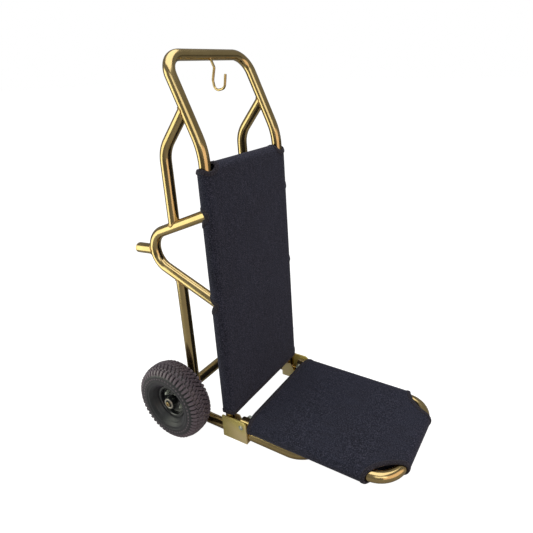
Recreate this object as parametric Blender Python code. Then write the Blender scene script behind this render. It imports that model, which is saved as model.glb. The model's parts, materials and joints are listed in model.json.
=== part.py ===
"""Hotel luggage cart: a bent-tube frame with a folding platform on two pneumatic wheels.

Metres, +Z up. The cart stands on Z = 0 and faces -Y, with X = 0 as its plane of symmetry.
Left and right are those of the person who pushes it, so left is +X.
Heights and depths below are measured from the floor and from the plane of the back legs. The whole cart
hangs on one empty that moves this design frame so that the origin lies under the middle of the cart.
"""
import math

import bmesh
import bpy
from mathutils import Matrix, Vector

# clearances and facets
GAP = 0.0003
TUBE_SIDES = 14
BORE_SIDES = 7
COPE_SIDES = 18
BEND_STEP = math.radians(18)

# tube stock
TUBE_R = 0.017
TUBE_WALL = 0.0015
BACK_BAR_R = 0.011
DECK_BAR_R = 0.010
AXLE_R = 0.008
HOOK_R = 0.004

# frame
HALF_TRACK = 0.180
LEG_BEND_Z = 0.967
LEG_BEND_R = 0.20
HANDLE_Y = 0.1126
HANDLE_Z = 1.225
HANDLE_CORNER_R = 0.062
REAR_Y = 0.1504
STRUT_BEND_Z = 0.959
STRUT_BEND_R = 0.10
STRUT_TOP = (0.0504, 1.0825)
LOOP_TOP_Z = 0.782
LOOP_LOW_Z = 0.487
LOOP_SLOPE = 0.41
LOOP_BEND_R = 0.068
BASE_REAR_Z = 0.0233
BASE_REAR_R = 0.055
BASE_FRONT_Y = -0.325
BASE_FRONT_Z = 0.0173
BASE_FRONT_R = 0.10
CROSS_TUBE_Z = 0.151
PEG_DROP = 0.006
PEG_TILT = math.radians(4)
PEG_LENGTH = 0.0725
PEG_CAP_RIM = 0.004
PEG_CAP_DOME = 0.004
PEG_PLUG = 0.012

# garment hook, as (y, z) corners of its bent wire
HOOK_SHANK = (0.1018, 1.215)
HOOK_SHOULDER = (0.0894, 1.188)
HOOK_NECK = (0.0995, 1.150)
HOOK_HEEL = (0.0935, 1.1175)
HOOK_TOE = (0.0555, 1.1260)
HOOK_TIP = (0.0479, 1.1681)
HOOK_NECK_R = 0.02
HOOK_BOW_R = 0.017

# panels: carpet covers over a board and the tubes beside it
COVER_HALF = 0.0217
POCKET_HALF = 0.0175
BACK_COVER_LOW = 0.086
BACK_COVER_TOP = 0.930
BACK_SCOOP_R = 0.0315
BACK_BOARD_T = 0.010
BACK_BOARD_INSET = 0.014
BACK_BOARD_CORNER = 0.032
BACK_BAR_HEIGHTS = (0.30, 0.60, 0.88)
DECK_BOARD_T = 0.012
DECK_BOARD_CORNER = 0.056
BOARD_HALF_WIDTH = 0.1600

# platform, measured ahead of its pivot
PIVOT_Y = -0.0585
PIVOT_Z = 0.060
DECK_TILT = math.radians(0.8)
DECK_HALF_TRACK = 0.1778
DECK_TAIL = 0.012
DECK_REACH = 0.5205
DECK_CORNER_R = 0.08
DECK_COVER_REAR = 0.0172
DECK_BAR_AHEAD = (0.18, 0.36)

# hinge bracket
BRACKET_FLOOR_T = 0.003
BRACKET_FRONT_Y = -0.078
BRACKET_REAR_Y = 0.020
BRACKET_TOP_Z = 0.080
BRACKET_CORNER_R = 0.018
CHEEK_IN = HALF_TRACK + TUBE_R + GAP
CHEEK_T = 0.006
LIP_OUT = 0.160
LIP_T = 0.004
LIP_FRONT_Z = 0.024
LIP_REAR_Z = 0.060
HINGE_BOLT_R = 0.005
HINGE_HOLE_R = 0.0055
HINGE_WASHER_R = 0.010
HINGE_HEAD_R = 0.0085
HINGE_NUT_R = 0.009
HINGE_NUT_T = 0.010
HINGE_BOLT_SPARE = 0.003

# axle, let into the backs of the uprights
AXLE_Y = 0.1687
AXLE_END = 0.2905
AXLE_HOLE_R = 0.0026
AXLE_HOLE_DEPTH = 0.004
AXLE_SPACER_R = 0.012
AXLE_WASHER_R = 0.0115
AXLE_WASHER_T = 0.001
CLIP_GROOVE_R = 0.0068
CLIP_BORE_R = 0.0074
CLIP_R = 0.0102
CLIP_T = 0.001

# wheels; distances "out" are from the wheel's middle plane towards the axle's end
WHEEL_R = 0.132
WHEEL_X = 0.2559
HUB_BORE_R = 0.014
BEARING_R = 0.0175
BEARING_BORE_R = 0.0084
BEARING_SEAL = (0.0105, 0.0133)
BEARING_SEAL_DEPTH = 0.0008
BEARING_IN = 0.018
BEARING_OUT = 0.030
BEARING_PROUD = 0.0012
RIM_T = 0.0025
RIM_R = 0.0505
BEAD_R = 0.0513
BEAD_IN = 0.0097
BEAD_OUT = 0.0157
RIM_HALF_WIDTH = 0.0185
RIM_LIP_R = 0.0576
RIM_BOLT_CIRCLE = 0.0335
RIM_BOLTS = 4
RIM_BOLT_PHASE = 62
RIM_BOLT_R = 0.004
RIM_BOLT_HOLE_R = 0.0048
RIM_NUT_R = 0.0075
RIM_NUT_T = 0.0065
RIM_HEAD_T = 0.0053
RIM_BOLT_SPARE = 0.003
VALVE_OUT = 0.0062
VALVE_R = 0.003
VALVE_LOW = 0.036
VALVE_HIGH = 0.0514
TYRE_SIDES = 24
RIM_SIDES = 20
BEARING_SIDES = 16

CUTTERS = {}


# ---------------------------------------------------------------- scene helpers

def clear_scene():
    for obj in list(bpy.data.objects):
        bpy.data.objects.remove(obj, do_unlink=True)


def material(name, colour, roughness, metallic):
    mat = bpy.data.materials.new(name)
    mat.use_nodes = True
    shader = mat.node_tree.nodes["Principled BSDF"]
    shader.inputs["Base Color"].default_value = (*colour, 1.0)
    shader.inputs["Roughness"].default_value = roughness
    shader.inputs["Metallic"].default_value = metallic
    return mat


def gold_tube():
    return material("gold_tube", (0.62, 0.42, 0.19), 0.32, 1.0)


def gold_plate():
    return material("gold_plate", (0.72, 0.58, 0.26), 0.42, 1.0)


def carpet():
    return material("charcoal_carpet", (0.022, 0.023, 0.032), 0.95, 0.0)


def black_rubber():
    return material("tyre_rubber", (0.045, 0.043, 0.046), 0.75, 0.0)


def black_paint():
    return material("rim_black_paint", (0.008, 0.008, 0.009), 0.18, 0.0)


def zinc_steel():
    return material("zinc_steel", (0.60, 0.61, 0.55), 0.35, 1.0)


def black_steel():
    return material("black_steel", (0.03, 0.03, 0.032), 0.45, 0.6)


def plywood():
    return material("plywood", (0.55, 0.40, 0.24), 0.7, 0.0)


def black_plastic():
    return material("black_plastic", (0.02, 0.02, 0.02), 0.5, 0.0)


def empty(name, location, parent=None, rotation=(0.0, 0.0, 0.0)):
    obj = bpy.data.objects.new(name, None)
    obj.location = location
    obj.rotation_euler = rotation
    obj.parent = parent
    bpy.context.scene.collection.objects.link(obj)
    return obj


def finish_mesh(bm, name):
    bmesh.ops.recalc_face_normals(bm, faces=bm.faces)
    mesh = bpy.data.meshes.new(name)
    bm.to_mesh(mesh)
    bm.free()
    mesh.shade_smooth()
    mesh.set_sharp_from_angle(angle=math.radians(35))
    return mesh


def add_object(name, mesh, parent, mat=None):
    obj = bpy.data.objects.new(name, mesh)
    obj.parent = parent
    if mat and not mesh.materials:
        mesh.materials.append(mat)
    bpy.context.scene.collection.objects.link(obj)
    return obj


def add_cutter(name, mesh, parent):
    obj = add_object(name, mesh, parent)
    obj.hide_render = True
    obj.display_type = "WIRE"
    CUTTERS[name] = obj
    return obj


def combine(obj, cutter_name, operation="DIFFERENCE"):
    modifier = obj.modifiers.new(f"{operation.lower()}_{cutter_name}", "BOOLEAN")
    modifier.object = CUTTERS[cutter_name]
    modifier.operation = operation
    modifier.solver = "EXACT"


# ---------------------------------------------------------------- shape helpers

def mirrored(path):
    """A path that crosses X = 0, from its +X half."""
    return path + [Vector((-p.x, p.y, p.z)) for p in reversed(path)]


def bent(corners):
    """Points of a bent tube's centre line; each corner is (point, bend radius)."""
    points = [Vector(corners[0][0])]
    for before, here, after in zip(corners, corners[1:], corners[2:]):
        corner = Vector(here[0])
        arriving = (corner - Vector(before[0])).normalized()
        leaving = (Vector(after[0]) - corner).normalized()
        turn = arriving.angle(leaving)
        start = corner - arriving * here[1] * math.tan(turn / 2)
        axis = arriving.cross(leaving).normalized()
        centre = start + axis.cross(arriving) * here[1]
        steps = max(1, round(turn / BEND_STEP))
        for step in range(steps + 1):
            points.append(centre + Matrix.Rotation(turn * step / steps, 3, axis) @ (start - centre))
    points.append(Vector(corners[-1][0]))
    return points


def tube_rings(bm, path, radius, sides, phase=0.0):
    """One ring for each point: every line of the tube runs on until it meets the next mitre plane."""
    direction = (path[1] - path[0]).normalized()
    across = direction.orthogonal().normalized()
    if abs(direction.x) < 0.999:
        across = Vector((1, 0, 0)).cross(direction).normalized().cross(direction)
    ring = [path[0] + Matrix.Rotation(2 * math.pi * (i + phase) / sides, 3, direction) @ across * radius
            for i in range(sides)]
    rings = [[bm.verts.new(p) for p in ring]]
    for i in range(1, len(path)):
        arriving = (path[i] - path[i - 1]).normalized()
        leaving = (path[i + 1] - path[i]).normalized() if i + 1 < len(path) else arriving
        mitre = (arriving + leaving).normalized()
        ring = [p + arriving * ((path[i] - p).dot(mitre) / arriving.dot(mitre)) for p in ring]
        rings.append([bm.verts.new(p) for p in ring])
    for low, high in zip(rings, rings[1:]):
        for i in range(sides):
            j = (i + 1) % sides
            bm.faces.new((low[i], low[j], high[j], high[i]))
    return rings


def hollow_tube(name, path, radius, wall=TUBE_WALL):
    """A tube with open ends; the bore has half as many sides as the outside."""
    bm = bmesh.new()
    outer = tube_rings(bm, path, radius, TUBE_SIDES)
    inner = tube_rings(bm, path, radius - wall, BORE_SIDES)
    for out, bore in ((outer[0], inner[0]), (outer[-1], inner[-1])):
        for i in range(BORE_SIDES):
            j = (i + 1) % BORE_SIDES
            bm.faces.new((out[2 * i], out[2 * i + 1], out[2 * j], bore[j], bore[i]))
    return finish_mesh(bm, name)


def solid_rod(name, path, radius, sides=TUBE_SIDES, phase=0.0):
    bm = bmesh.new()
    rings = tube_rings(bm, path, radius, sides, phase)
    bm.faces.new(rings[0])
    bm.faces.new(rings[-1])
    return finish_mesh(bm, name)


def cope_tool(name, path, clearance=GAP):
    """A tube's path, thicker all round, turned so that its facets don't line up with the tube's own."""
    radius = (TUBE_R + clearance) / math.cos(math.pi / COPE_SIDES)
    return solid_rod(name, path, radius, COPE_SIDES, 0.3)


def turned(name, profile, sides):
    """Spin a closed profile of (radius, out) points about X; points on the axis meet in one pole."""
    bm = bmesh.new()
    verts = [bm.verts.new((out, 0, -radius)) for radius, out in profile]
    edges = [bm.edges.new(pair) for pair in zip(verts, verts[1:] + verts[:1]) if any(v.co.z for v in pair)]
    bmesh.ops.spin(bm, geom=verts + edges, cent=(0, 0, 0), axis=(1, 0, 0), angle=2 * math.pi, steps=sides,
                   use_merge=True)
    bmesh.ops.remove_doubles(bm, verts=bm.verts, dist=1e-6)
    return finish_mesh(bm, name)


def prism(name, outline, low, high, place):
    """An outline of (u, v) points, extruded from low to high; place(u, v, w) gives the point in space."""
    bm = bmesh.new()
    face = bm.faces.new([bm.verts.new(place(u, v, low)) for u, v in outline])
    top = bmesh.ops.extrude_face_region(bm, geom=[face])["geom"]
    shift = Vector(place(0, 0, high)) - Vector(place(0, 0, low))
    bmesh.ops.translate(bm, verts=[v for v in top if isinstance(v, bmesh.types.BMVert)], vec=shift)
    return finish_mesh(bm, name)


def arc(centre, radius, start_deg, end_deg, steps=6):
    angles = [math.radians(start_deg + (end_deg - start_deg) * i / steps) for i in range(steps + 1)]
    return [(centre[0] + radius * math.cos(a), centre[1] + radius * math.sin(a)) for a in angles]


def both_halves(half):
    """A closed outline, symmetric about u = 0, from the points of its +u half."""
    return half + [(-u, v) for u, v in reversed(half)]


def rounded_slab(name, half_width, start, end, half_thickness, place):
    """A flat panel with round sides and a round far end; its near end is square."""
    bm = bmesh.new()
    bmesh.ops.create_cube(bm, size=1.0)
    bmesh.ops.scale(bm, verts=bm.verts, vec=(2 * half_width, end - start, 2 * half_thickness))
    bmesh.ops.translate(bm, verts=bm.verts, vec=(0, (start + end) / 2, 0))
    rounded = []
    for edge in bm.edges:
        a, b = (v.co for v in edge.verts)
        runs_along = abs(a.y - b.y) > 1e-6
        far_end = min(a.y, b.y) > end - 1e-6 and abs(a.x - b.x) > 1e-6
        if runs_along or far_end:
            rounded.append(edge)
    bmesh.ops.bevel(bm, geom=rounded, offset=half_thickness * 0.96, segments=4, profile=0.5,
                    affect="EDGES", clamp_overlap=False)
    for v in bm.verts:
        v.co = place(*v.co)
    return finish_mesh(bm, name)


# ---------------------------------------------------------------- centre lines

def base_height(y):
    """Height of the base rails' centre line, which falls slightly towards the front."""
    share = (y - BASE_FRONT_Y) / (REAR_Y - BASE_FRONT_Y)
    return BASE_FRONT_Z + share * (BASE_REAR_Z - BASE_FRONT_Z)


def loop_height(y, upper):
    return LOOP_TOP_Z - LOOP_SLOPE * y if upper else LOOP_LOW_Z + LOOP_SLOPE * y


def handle_path():
    x = HALF_TRACK
    half = bent([((x, 0, base_height(0)), 0), ((x, 0, LEG_BEND_Z), LEG_BEND_R),
                 ((x, HANDLE_Y, HANDLE_Z), HANDLE_CORNER_R), ((0, HANDLE_Y, HANDLE_Z), 0)])
    return mirrored(half[:-1])


def strut_path(side):
    x = side * HALF_TRACK
    return bent([((x, REAR_Y, loop_height(REAR_Y, upper=True)), 0), ((x, REAR_Y, STRUT_BEND_Z), STRUT_BEND_R),
                 ((x, *STRUT_TOP), 0)])


def side_loop_path(side):
    x = side * HALF_TRACK
    meet = (LOOP_TOP_Z - LOOP_LOW_Z) / (2 * LOOP_SLOPE)
    return bent([((x, 0, LOOP_TOP_Z), 0), ((x, meet, loop_height(meet, upper=True)), LOOP_BEND_R),
                 ((x, 0, LOOP_LOW_Z), 0)])


def loop_apex_y():
    meet = (LOOP_TOP_Z - LOOP_LOW_Z) / (2 * LOOP_SLOPE)
    return meet - LOOP_BEND_R * (1 / math.sin(math.atan(LOOP_SLOPE)) - 1)


def loop_apex_z():
    return (LOOP_TOP_Z + LOOP_LOW_Z) / 2


def peg_end():
    """The (y, z) of the rest peg's open end; the peg slopes down towards it."""
    return (loop_apex_y() + PEG_LENGTH * math.cos(PEG_TILT),
            loop_apex_z() - PEG_DROP - PEG_LENGTH * math.sin(PEG_TILT))


def base_path():
    x = HALF_TRACK
    half = bent([((x, REAR_Y, loop_height(REAR_Y, upper=False)), 0), ((x, REAR_Y, BASE_REAR_Z), BASE_REAR_R),
                 ((x, BASE_FRONT_Y, BASE_FRONT_Z), BASE_FRONT_R), ((0, BASE_FRONT_Y, BASE_FRONT_Z), 0)])
    return mirrored(half[:-1])


def deck_path():
    x = DECK_HALF_TRACK
    half = bent([((x, DECK_TAIL, 0), 0), ((x, -DECK_REACH, 0), DECK_CORNER_R), ((0, -DECK_REACH, 0), 0)])
    return mirrored(half[:-1])


# ---------------------------------------------------------------- frame

def add_cutters(frame, deck):
    """Tubes that are a gap thicker than the real ones; they cope whatever is welded to those."""
    add_cutter("cut_handle", cope_tool("cut_handle", handle_path()), frame)
    add_cutter("cut_base", cope_tool("cut_base", base_path()), frame)
    add_cutter("cut_deck", cope_tool("cut_deck", deck_path()), deck)
    axle = [Vector((-AXLE_END, AXLE_Y, WHEEL_R)), Vector((AXLE_END, AXLE_Y, WHEEL_R))]
    notch = (AXLE_R + GAP) / math.cos(math.pi / TUBE_SIDES)
    add_cutter("cut_axle", solid_rod("cut_axle", axle, notch, TUBE_SIDES, 0.5), frame)
    for side, word in ((1, "left"), (-1, "right")):
        path = side_loop_path(side)
        add_cutter(f"cut_loop_{word}", cope_tool(f"cut_loop_{word}", path), frame)
        add_cutter(f"slit_loop_{word}", cope_tool(f"slit_loop_{word}", path, 3 * GAP), frame)


def add_handle_hoop(frame, mat):
    hoop = add_object("handle_hoop", hollow_tube("handle_hoop", handle_path(), TUBE_R), frame, mat)
    combine(hoop, "cut_base")


def add_strut(frame, mat, side, word):
    strut = add_object(f"strut_{word}", hollow_tube(f"strut_{word}", strut_path(side), TUBE_R), frame, mat)
    combine(strut, "cut_handle")
    combine(strut, f"cut_loop_{word}")


def add_side_loop(frame, mat, side, word):
    name = f"side_loop_{word}"
    loop = add_object(name, hollow_tube(name, side_loop_path(side), TUBE_R), frame, mat)
    combine(loop, "cut_handle")


def add_rest_peg(frame, mat, side, word):
    x = side * HALF_TRACK
    path = [Vector((x, loop_apex_y(), loop_apex_z() - PEG_DROP)), Vector((x, *peg_end()))]
    peg = add_object(f"rest_peg_{word}", hollow_tube(f"rest_peg_{word}", path, TUBE_R), frame, mat)
    combine(peg, f"cut_loop_{word}")


def add_peg_cap(frame, mat, side, word):
    """A domed cap whose plug sits in the peg's open end; the plug clears the flats of the faceted bore."""
    plug = (TUBE_R - TUBE_WALL) * math.cos(math.pi / BORE_SIDES) - GAP
    top = PEG_CAP_RIM + PEG_CAP_DOME
    profile = [(0, -PEG_PLUG), (plug, -PEG_PLUG), (plug, GAP), (TUBE_R, GAP), (TUBE_R, PEG_CAP_RIM),
               (0.7 * TUBE_R, top - 0.25 * PEG_CAP_DOME), (0, top)]
    cap = add_object(f"peg_cap_{word}", turned(f"peg_cap_{word}", profile, TUBE_SIDES), frame, mat)
    cap.location = (side * HALF_TRACK, *peg_end())
    cap.rotation_euler = (0, PEG_TILT, math.radians(90))


def add_base_loop(frame, mat):
    base = add_object("base_loop", hollow_tube("base_loop", base_path(), TUBE_R), frame, mat)
    combine(base, "cut_loop_left")
    combine(base, "cut_loop_right")
    combine(base, "cut_axle")


def add_cross_bar(name, frame, mat, half_length, y, z, radius, cutter):
    path = [Vector((-half_length, y, z)), Vector((half_length, y, z))]
    bar = add_object(name, hollow_tube(name, path, radius), frame, mat)
    combine(bar, cutter)


def add_garment_hook(frame, mat):
    """A bent wire in the plane of symmetry, welded under the handle's top bar."""
    path = bent([((0, *HOOK_SHANK), 0), ((0, *HOOK_SHOULDER), 2 * HOOK_R), ((0, *HOOK_NECK), HOOK_NECK_R),
                 ((0, *HOOK_HEEL), HOOK_BOW_R), ((0, *HOOK_TOE), HOOK_BOW_R), ((0, *HOOK_TIP), 0)])
    hook = add_object("garment_hook", solid_rod("garment_hook", path, HOOK_R, 8), frame, mat)
    combine(hook, "cut_handle")


# ---------------------------------------------------------------- hinge

def add_hinge_bracket(frame, mat, side, word):
    """A welded channel: floor plate, tall outer cheek with the pivot hole, low inner lip."""
    def place(u, v, w):
        return (side * w, u, v)

    name = f"hinge_bracket_{word}"
    corner = (BRACKET_FRONT_Y + BRACKET_CORNER_R, BRACKET_TOP_Z - BRACKET_CORNER_R)
    cheek = [(BRACKET_FRONT_Y, 0), (BRACKET_REAR_Y, 0), (BRACKET_REAR_Y, BRACKET_TOP_Z)]
    cheek += arc(corner, BRACKET_CORNER_R, 90, 180, 4)
    lip = [(BRACKET_FRONT_Y, 0), (BRACKET_REAR_Y, 0), (BRACKET_REAR_Y, LIP_REAR_Z), (-TUBE_R, LIP_REAR_Z),
           (2 * PIVOT_Y / 3, LIP_FRONT_Z), (BRACKET_FRONT_Y, LIP_FRONT_Z)]
    floor = [(BRACKET_FRONT_Y, 0), (BRACKET_REAR_Y, 0), (BRACKET_REAR_Y, BRACKET_FLOOR_T),
             (BRACKET_FRONT_Y, BRACKET_FLOOR_T)]
    cheek_out = CHEEK_IN + CHEEK_T
    lip_in = LIP_OUT - LIP_T
    bracket = add_object(name, prism(name, cheek, CHEEK_IN, cheek_out, place), frame, mat)
    add_cutter(f"lip_{word}", prism(f"lip_{word}", lip, lip_in, LIP_OUT, place), frame)
    add_cutter(f"floor_{word}", prism(f"floor_{word}", floor, lip_in, cheek_out, place), frame)
    hole = [Vector((side * x, PIVOT_Y, PIVOT_Z)) for x in (CHEEK_IN - 0.01, cheek_out + 0.01)]
    add_cutter(f"hole_{word}", solid_rod(f"hole_{word}", hole, HINGE_HOLE_R), frame)
    combine(bracket, f"floor_{word}", "UNION")
    combine(bracket, f"lip_{word}", "UNION")
    combine(bracket, f"hole_{word}")


def pivot_object(name, profile, sides, parent, mat, side):
    """A turned piece on the platform's pivot; its profile counts outwards from X = 0."""
    obj = add_object(name, turned(name, profile, sides), parent, mat)
    obj.rotation_euler = (0, 0, 0 if side > 0 else math.pi)
    return obj


def add_hinge_fasteners(pivot, deck, mat, side, word):
    head = CHEEK_IN + CHEEK_T + GAP
    tube_out = DECK_HALF_TRACK + TUBE_R
    tube_in = DECK_HALF_TRACK - TUBE_R
    washer_t = CHEEK_IN - tube_out - 2 * GAP
    nut_out = tube_in - GAP
    nut_in = nut_out - HINGE_NUT_T
    nut_flange = nut_out - 0.2 * HINGE_NUT_T
    nut_bore = HINGE_BOLT_R + 3 * GAP
    bolt_in = nut_in - HINGE_BOLT_SPARE
    bolt = [(0, bolt_in), (HINGE_BOLT_R, bolt_in), (HINGE_BOLT_R, head), (HINGE_HEAD_R, head),
            (0.9 * HINGE_HEAD_R, head + 0.003), (0.5 * HINGE_HEAD_R, head + 0.0048), (0, head + 0.0052)]
    nut = [(nut_bore, nut_in), (HINGE_NUT_R, nut_in), (HINGE_NUT_R, nut_flange), (HINGE_WASHER_R, nut_flange),
           (HINGE_WASHER_R, nut_out), (nut_bore, nut_out)]
    washer_in = tube_out + GAP
    washer = [(HINGE_HOLE_R, washer_in), (HINGE_WASHER_R, washer_in), (HINGE_WASHER_R, washer_in + washer_t),
              (HINGE_HOLE_R, washer_in + washer_t)]
    pivot_object(f"hinge_bolt_{word}", bolt, 12, pivot, mat, side)
    pivot_object(f"hinge_nut_{word}", nut, 6, pivot, mat, side)
    pivot_object(f"hinge_washer_{word}", washer, TUBE_SIDES, deck, mat, side)


# ---------------------------------------------------------------- panels

def back_place(u, v, w):
    return Vector((u, w, v))


def deck_place(u, v, w):
    return Vector((u, -v, w))


def back_outline():
    """Chamfered below beside the legs, scooped above where the legs come out."""
    scoop_z = BACK_COVER_TOP + 0.009
    reach = math.degrees(math.asin((scoop_z - BACK_COVER_TOP) / BACK_SCOOP_R))
    low = [(0.186, BACK_COVER_LOW), (0.203, 0.098), (0.212, 0.115)]
    return both_halves(low + [(0.225, scoop_z)] + arc((HALF_TRACK, scoop_z), BACK_SCOOP_R, 0, -180 + reach, 10)
                       + [(0.120, BACK_COVER_TOP + 0.01)])


def deck_outline():
    """Cut back behind for the hinge, scooped in front where the bent tube shows."""
    front = arc((0.235, 0.580), 0.1295, 255, 195, 8)
    rear = [(0.158, DECK_COVER_REAR), (0.215, 0.031)]
    return both_halves(rear + [(0.215, front[0][1])] + front + [(front[-1][0], 0.60)])


def add_cover(name, parent, mat, outline, start, end, place, pocket_end):
    """A carpet sleeve: open where the panel starts, closed and round where it ends."""
    half_width = HALF_TRACK + COVER_HALF
    pocket_width = HALF_TRACK + POCKET_HALF
    outside = rounded_slab(name, half_width, start, end, COVER_HALF, place)
    pocket = rounded_slab(f"pocket_{name}", pocket_width, start - 0.05, pocket_end, POCKET_HALF, place)
    add_cutter(f"outline_{name}", prism(f"outline_{name}", outline, -0.04, 0.04, place), parent)
    add_cutter(f"pocket_{name}", pocket, parent)
    cover = add_object(name, outside, parent, mat)
    combine(cover, f"outline_{name}", "INTERSECT")
    combine(cover, f"pocket_{name}")
    return cover


def add_back_panel(frame, cloth, wood, tube):
    shell = COVER_HALF - POCKET_HALF
    cover = add_cover("back_cover", frame, cloth, back_outline(), BACK_COVER_LOW, BACK_COVER_TOP, back_place,
                      BACK_COVER_TOP - shell)
    combine(cover, "slit_loop_left")
    combine(cover, "slit_loop_right")
    low = BACK_COVER_LOW + BACK_BOARD_INSET
    high = BACK_COVER_TOP - 0.024
    outline = both_halves([(BOARD_HALF_WIDTH, low), (BOARD_HALF_WIDTH, high - BACK_BOARD_CORNER),
                           (BOARD_HALF_WIDTH - BACK_BOARD_CORNER, high)])
    board = prism("back_board", outline, -TUBE_R, -TUBE_R + BACK_BOARD_T, back_place)
    add_object("back_board", board, frame, wood)
    bar_y = -TUBE_R + BACK_BOARD_T + GAP + BACK_BAR_R
    for number, height in enumerate(BACK_BAR_HEIGHTS, start=1):
        add_cross_bar(f"back_cross_bar_{number}", frame, tube, HALF_TRACK, bar_y, height, BACK_BAR_R,
                      "cut_handle")


def add_platform(deck, cloth, wood, tube):
    """The folding deck in its own frame: the pivot at the origin, -Y ahead."""
    frame = add_object("platform_frame", hollow_tube("platform_frame", deck_path(), TUBE_R), deck, tube)
    pin = [Vector((-0.25, 0, 0)), Vector((0.25, 0, 0))]
    add_cutter("hole_platform", solid_rod("hole_platform", pin, HINGE_HOLE_R), deck)
    combine(frame, "hole_platform")
    shell = COVER_HALF - POCKET_HALF
    end = DECK_REACH + COVER_HALF
    add_cover("platform_cover", deck, cloth, deck_outline(), DECK_COVER_REAR, end, deck_place, end - shell)
    rear = DECK_COVER_REAR + 0.004
    front = DECK_REACH - TUBE_R - 0.0015
    outline = both_halves([(BOARD_HALF_WIDTH, rear), (BOARD_HALF_WIDTH, front - DECK_BOARD_CORNER),
                           (BOARD_HALF_WIDTH - DECK_BOARD_CORNER, front)])
    board = prism("deck_board", outline, TUBE_R - DECK_BOARD_T, TUBE_R, deck_place)
    add_object("deck_board", board, deck, wood)
    bar_z = TUBE_R - DECK_BOARD_T - GAP - DECK_BAR_R
    for number, ahead in enumerate(DECK_BAR_AHEAD, start=1):
        add_cross_bar(f"platform_cross_bar_{number}", deck, tube, DECK_HALF_TRACK, -ahead, bar_z, DECK_BAR_R,
                      "cut_deck")


# ---------------------------------------------------------------- wheels

def both_sides(half):
    """A closed ring profile, symmetric about the wheel's middle plane."""
    return half + [(radius, -out) for radius, out in reversed(half)]


def tyre_profile():
    crown = [(BEAD_R, BEAD_OUT), (RIM_LIP_R + 3 * GAP, BEAD_OUT), (0.072, 0.0345), (0.092, 0.0424),
             (0.117, 0.0374), (0.1285, 0.0250), (WHEEL_R, 0.0105)]
    inside = [(0.1225, 0.0096), (0.1150, 0.0290), (0.092, 0.0362), (0.073, 0.0285), (0.059, 0.0105),
              (BEAD_R, BEAD_IN)]
    mirror_crown = [(r, -w) for r, w in reversed(crown)]
    mirror_inside = [(r, -w) for r, w in reversed(inside)]
    return crown + mirror_crown + mirror_inside + inside


def inner_tube_profile():
    """A thin ring that follows the tyre's inside, slit along the rim."""
    skin = [(0.0525, 0.001), (0.0525, 0.0090), (0.0592, 0.0098), (0.0730, 0.0262), (0.0920, 0.0350),
            (0.1132, 0.0280), (0.1205, 0.0090)]
    lining = [(0.1190, 0.0085), (0.1120, 0.0264), (0.0920, 0.0336), (0.0740, 0.0248), (0.0604, 0.0084),
              (0.0540, 0.0078), (0.0540, 0.001)]
    mirror_skin = [(r, -w) for r, w in reversed(skin)]
    mirror_lining = [(r, -w) for r, w in reversed(lining)]
    return skin + mirror_skin + mirror_lining + lining


def rim_profile(way):
    """Half a split rim: hub cup, flat bolting disc, bead seat and flange lip."""
    seat = BEARING_IN - GAP
    disc = GAP / 2
    cup_end = BEARING_OUT - BEARING_PROUD
    half = [(HUB_BORE_R, disc), (HUB_BORE_R, seat), (BEARING_R + GAP, seat), (BEARING_R + GAP, cup_end),
            (BEARING_R + GAP + RIM_T, cup_end), (BEARING_R + GAP + RIM_T, seat - RIM_T),
            (HUB_BORE_R + RIM_T, seat - RIM_T), (HUB_BORE_R + RIM_T, disc + RIM_T),
            (RIM_R - RIM_T, disc + RIM_T), (RIM_R - RIM_T, RIM_HALF_WIDTH), (RIM_LIP_R, RIM_HALF_WIDTH),
            (RIM_LIP_R, RIM_HALF_WIDTH - RIM_T), (RIM_R, RIM_HALF_WIDTH - RIM_T), (RIM_R, disc)]
    return [(radius, way * out) for radius, out in half]


def bearing_profile(way):
    """Inner ring, a seal set slightly in on the open side, and the outer ring."""
    seal_in, seal_out = BEARING_SEAL
    seal_face = BEARING_OUT - BEARING_SEAL_DEPTH
    half = [(BEARING_BORE_R, BEARING_IN), (BEARING_BORE_R, BEARING_OUT), (seal_in, BEARING_OUT),
            (seal_in, seal_face), (seal_out, seal_face), (seal_out, BEARING_OUT), (BEARING_R, BEARING_OUT),
            (BEARING_R, BEARING_IN)]
    return [(radius, way * out) for radius, out in half]


def rim_bolt_centre(number):
    angle = math.radians(RIM_BOLT_PHASE + 360 * number / RIM_BOLTS)
    return (0.0, RIM_BOLT_CIRCLE * math.cos(angle), RIM_BOLT_CIRCLE * math.sin(angle))


def rim_bolt_profile():
    """A hexagon-head bolt from inside with its nut run on outside; they clamp the two rim halves."""
    face = GAP / 2 + RIM_T + GAP
    nut_out = face + RIM_NUT_T
    tip = nut_out + RIM_BOLT_SPARE
    head = -face - RIM_HEAD_T
    return [(0, tip), (RIM_BOLT_R, tip), (RIM_BOLT_R, nut_out), (RIM_NUT_R, nut_out), (RIM_NUT_R, face),
            (RIM_BOLT_R, face), (RIM_BOLT_R, -face), (RIM_NUT_R, -face), (RIM_NUT_R, 0.85 * head),
            (0.8 * RIM_NUT_R, head), (0, head)]


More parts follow.
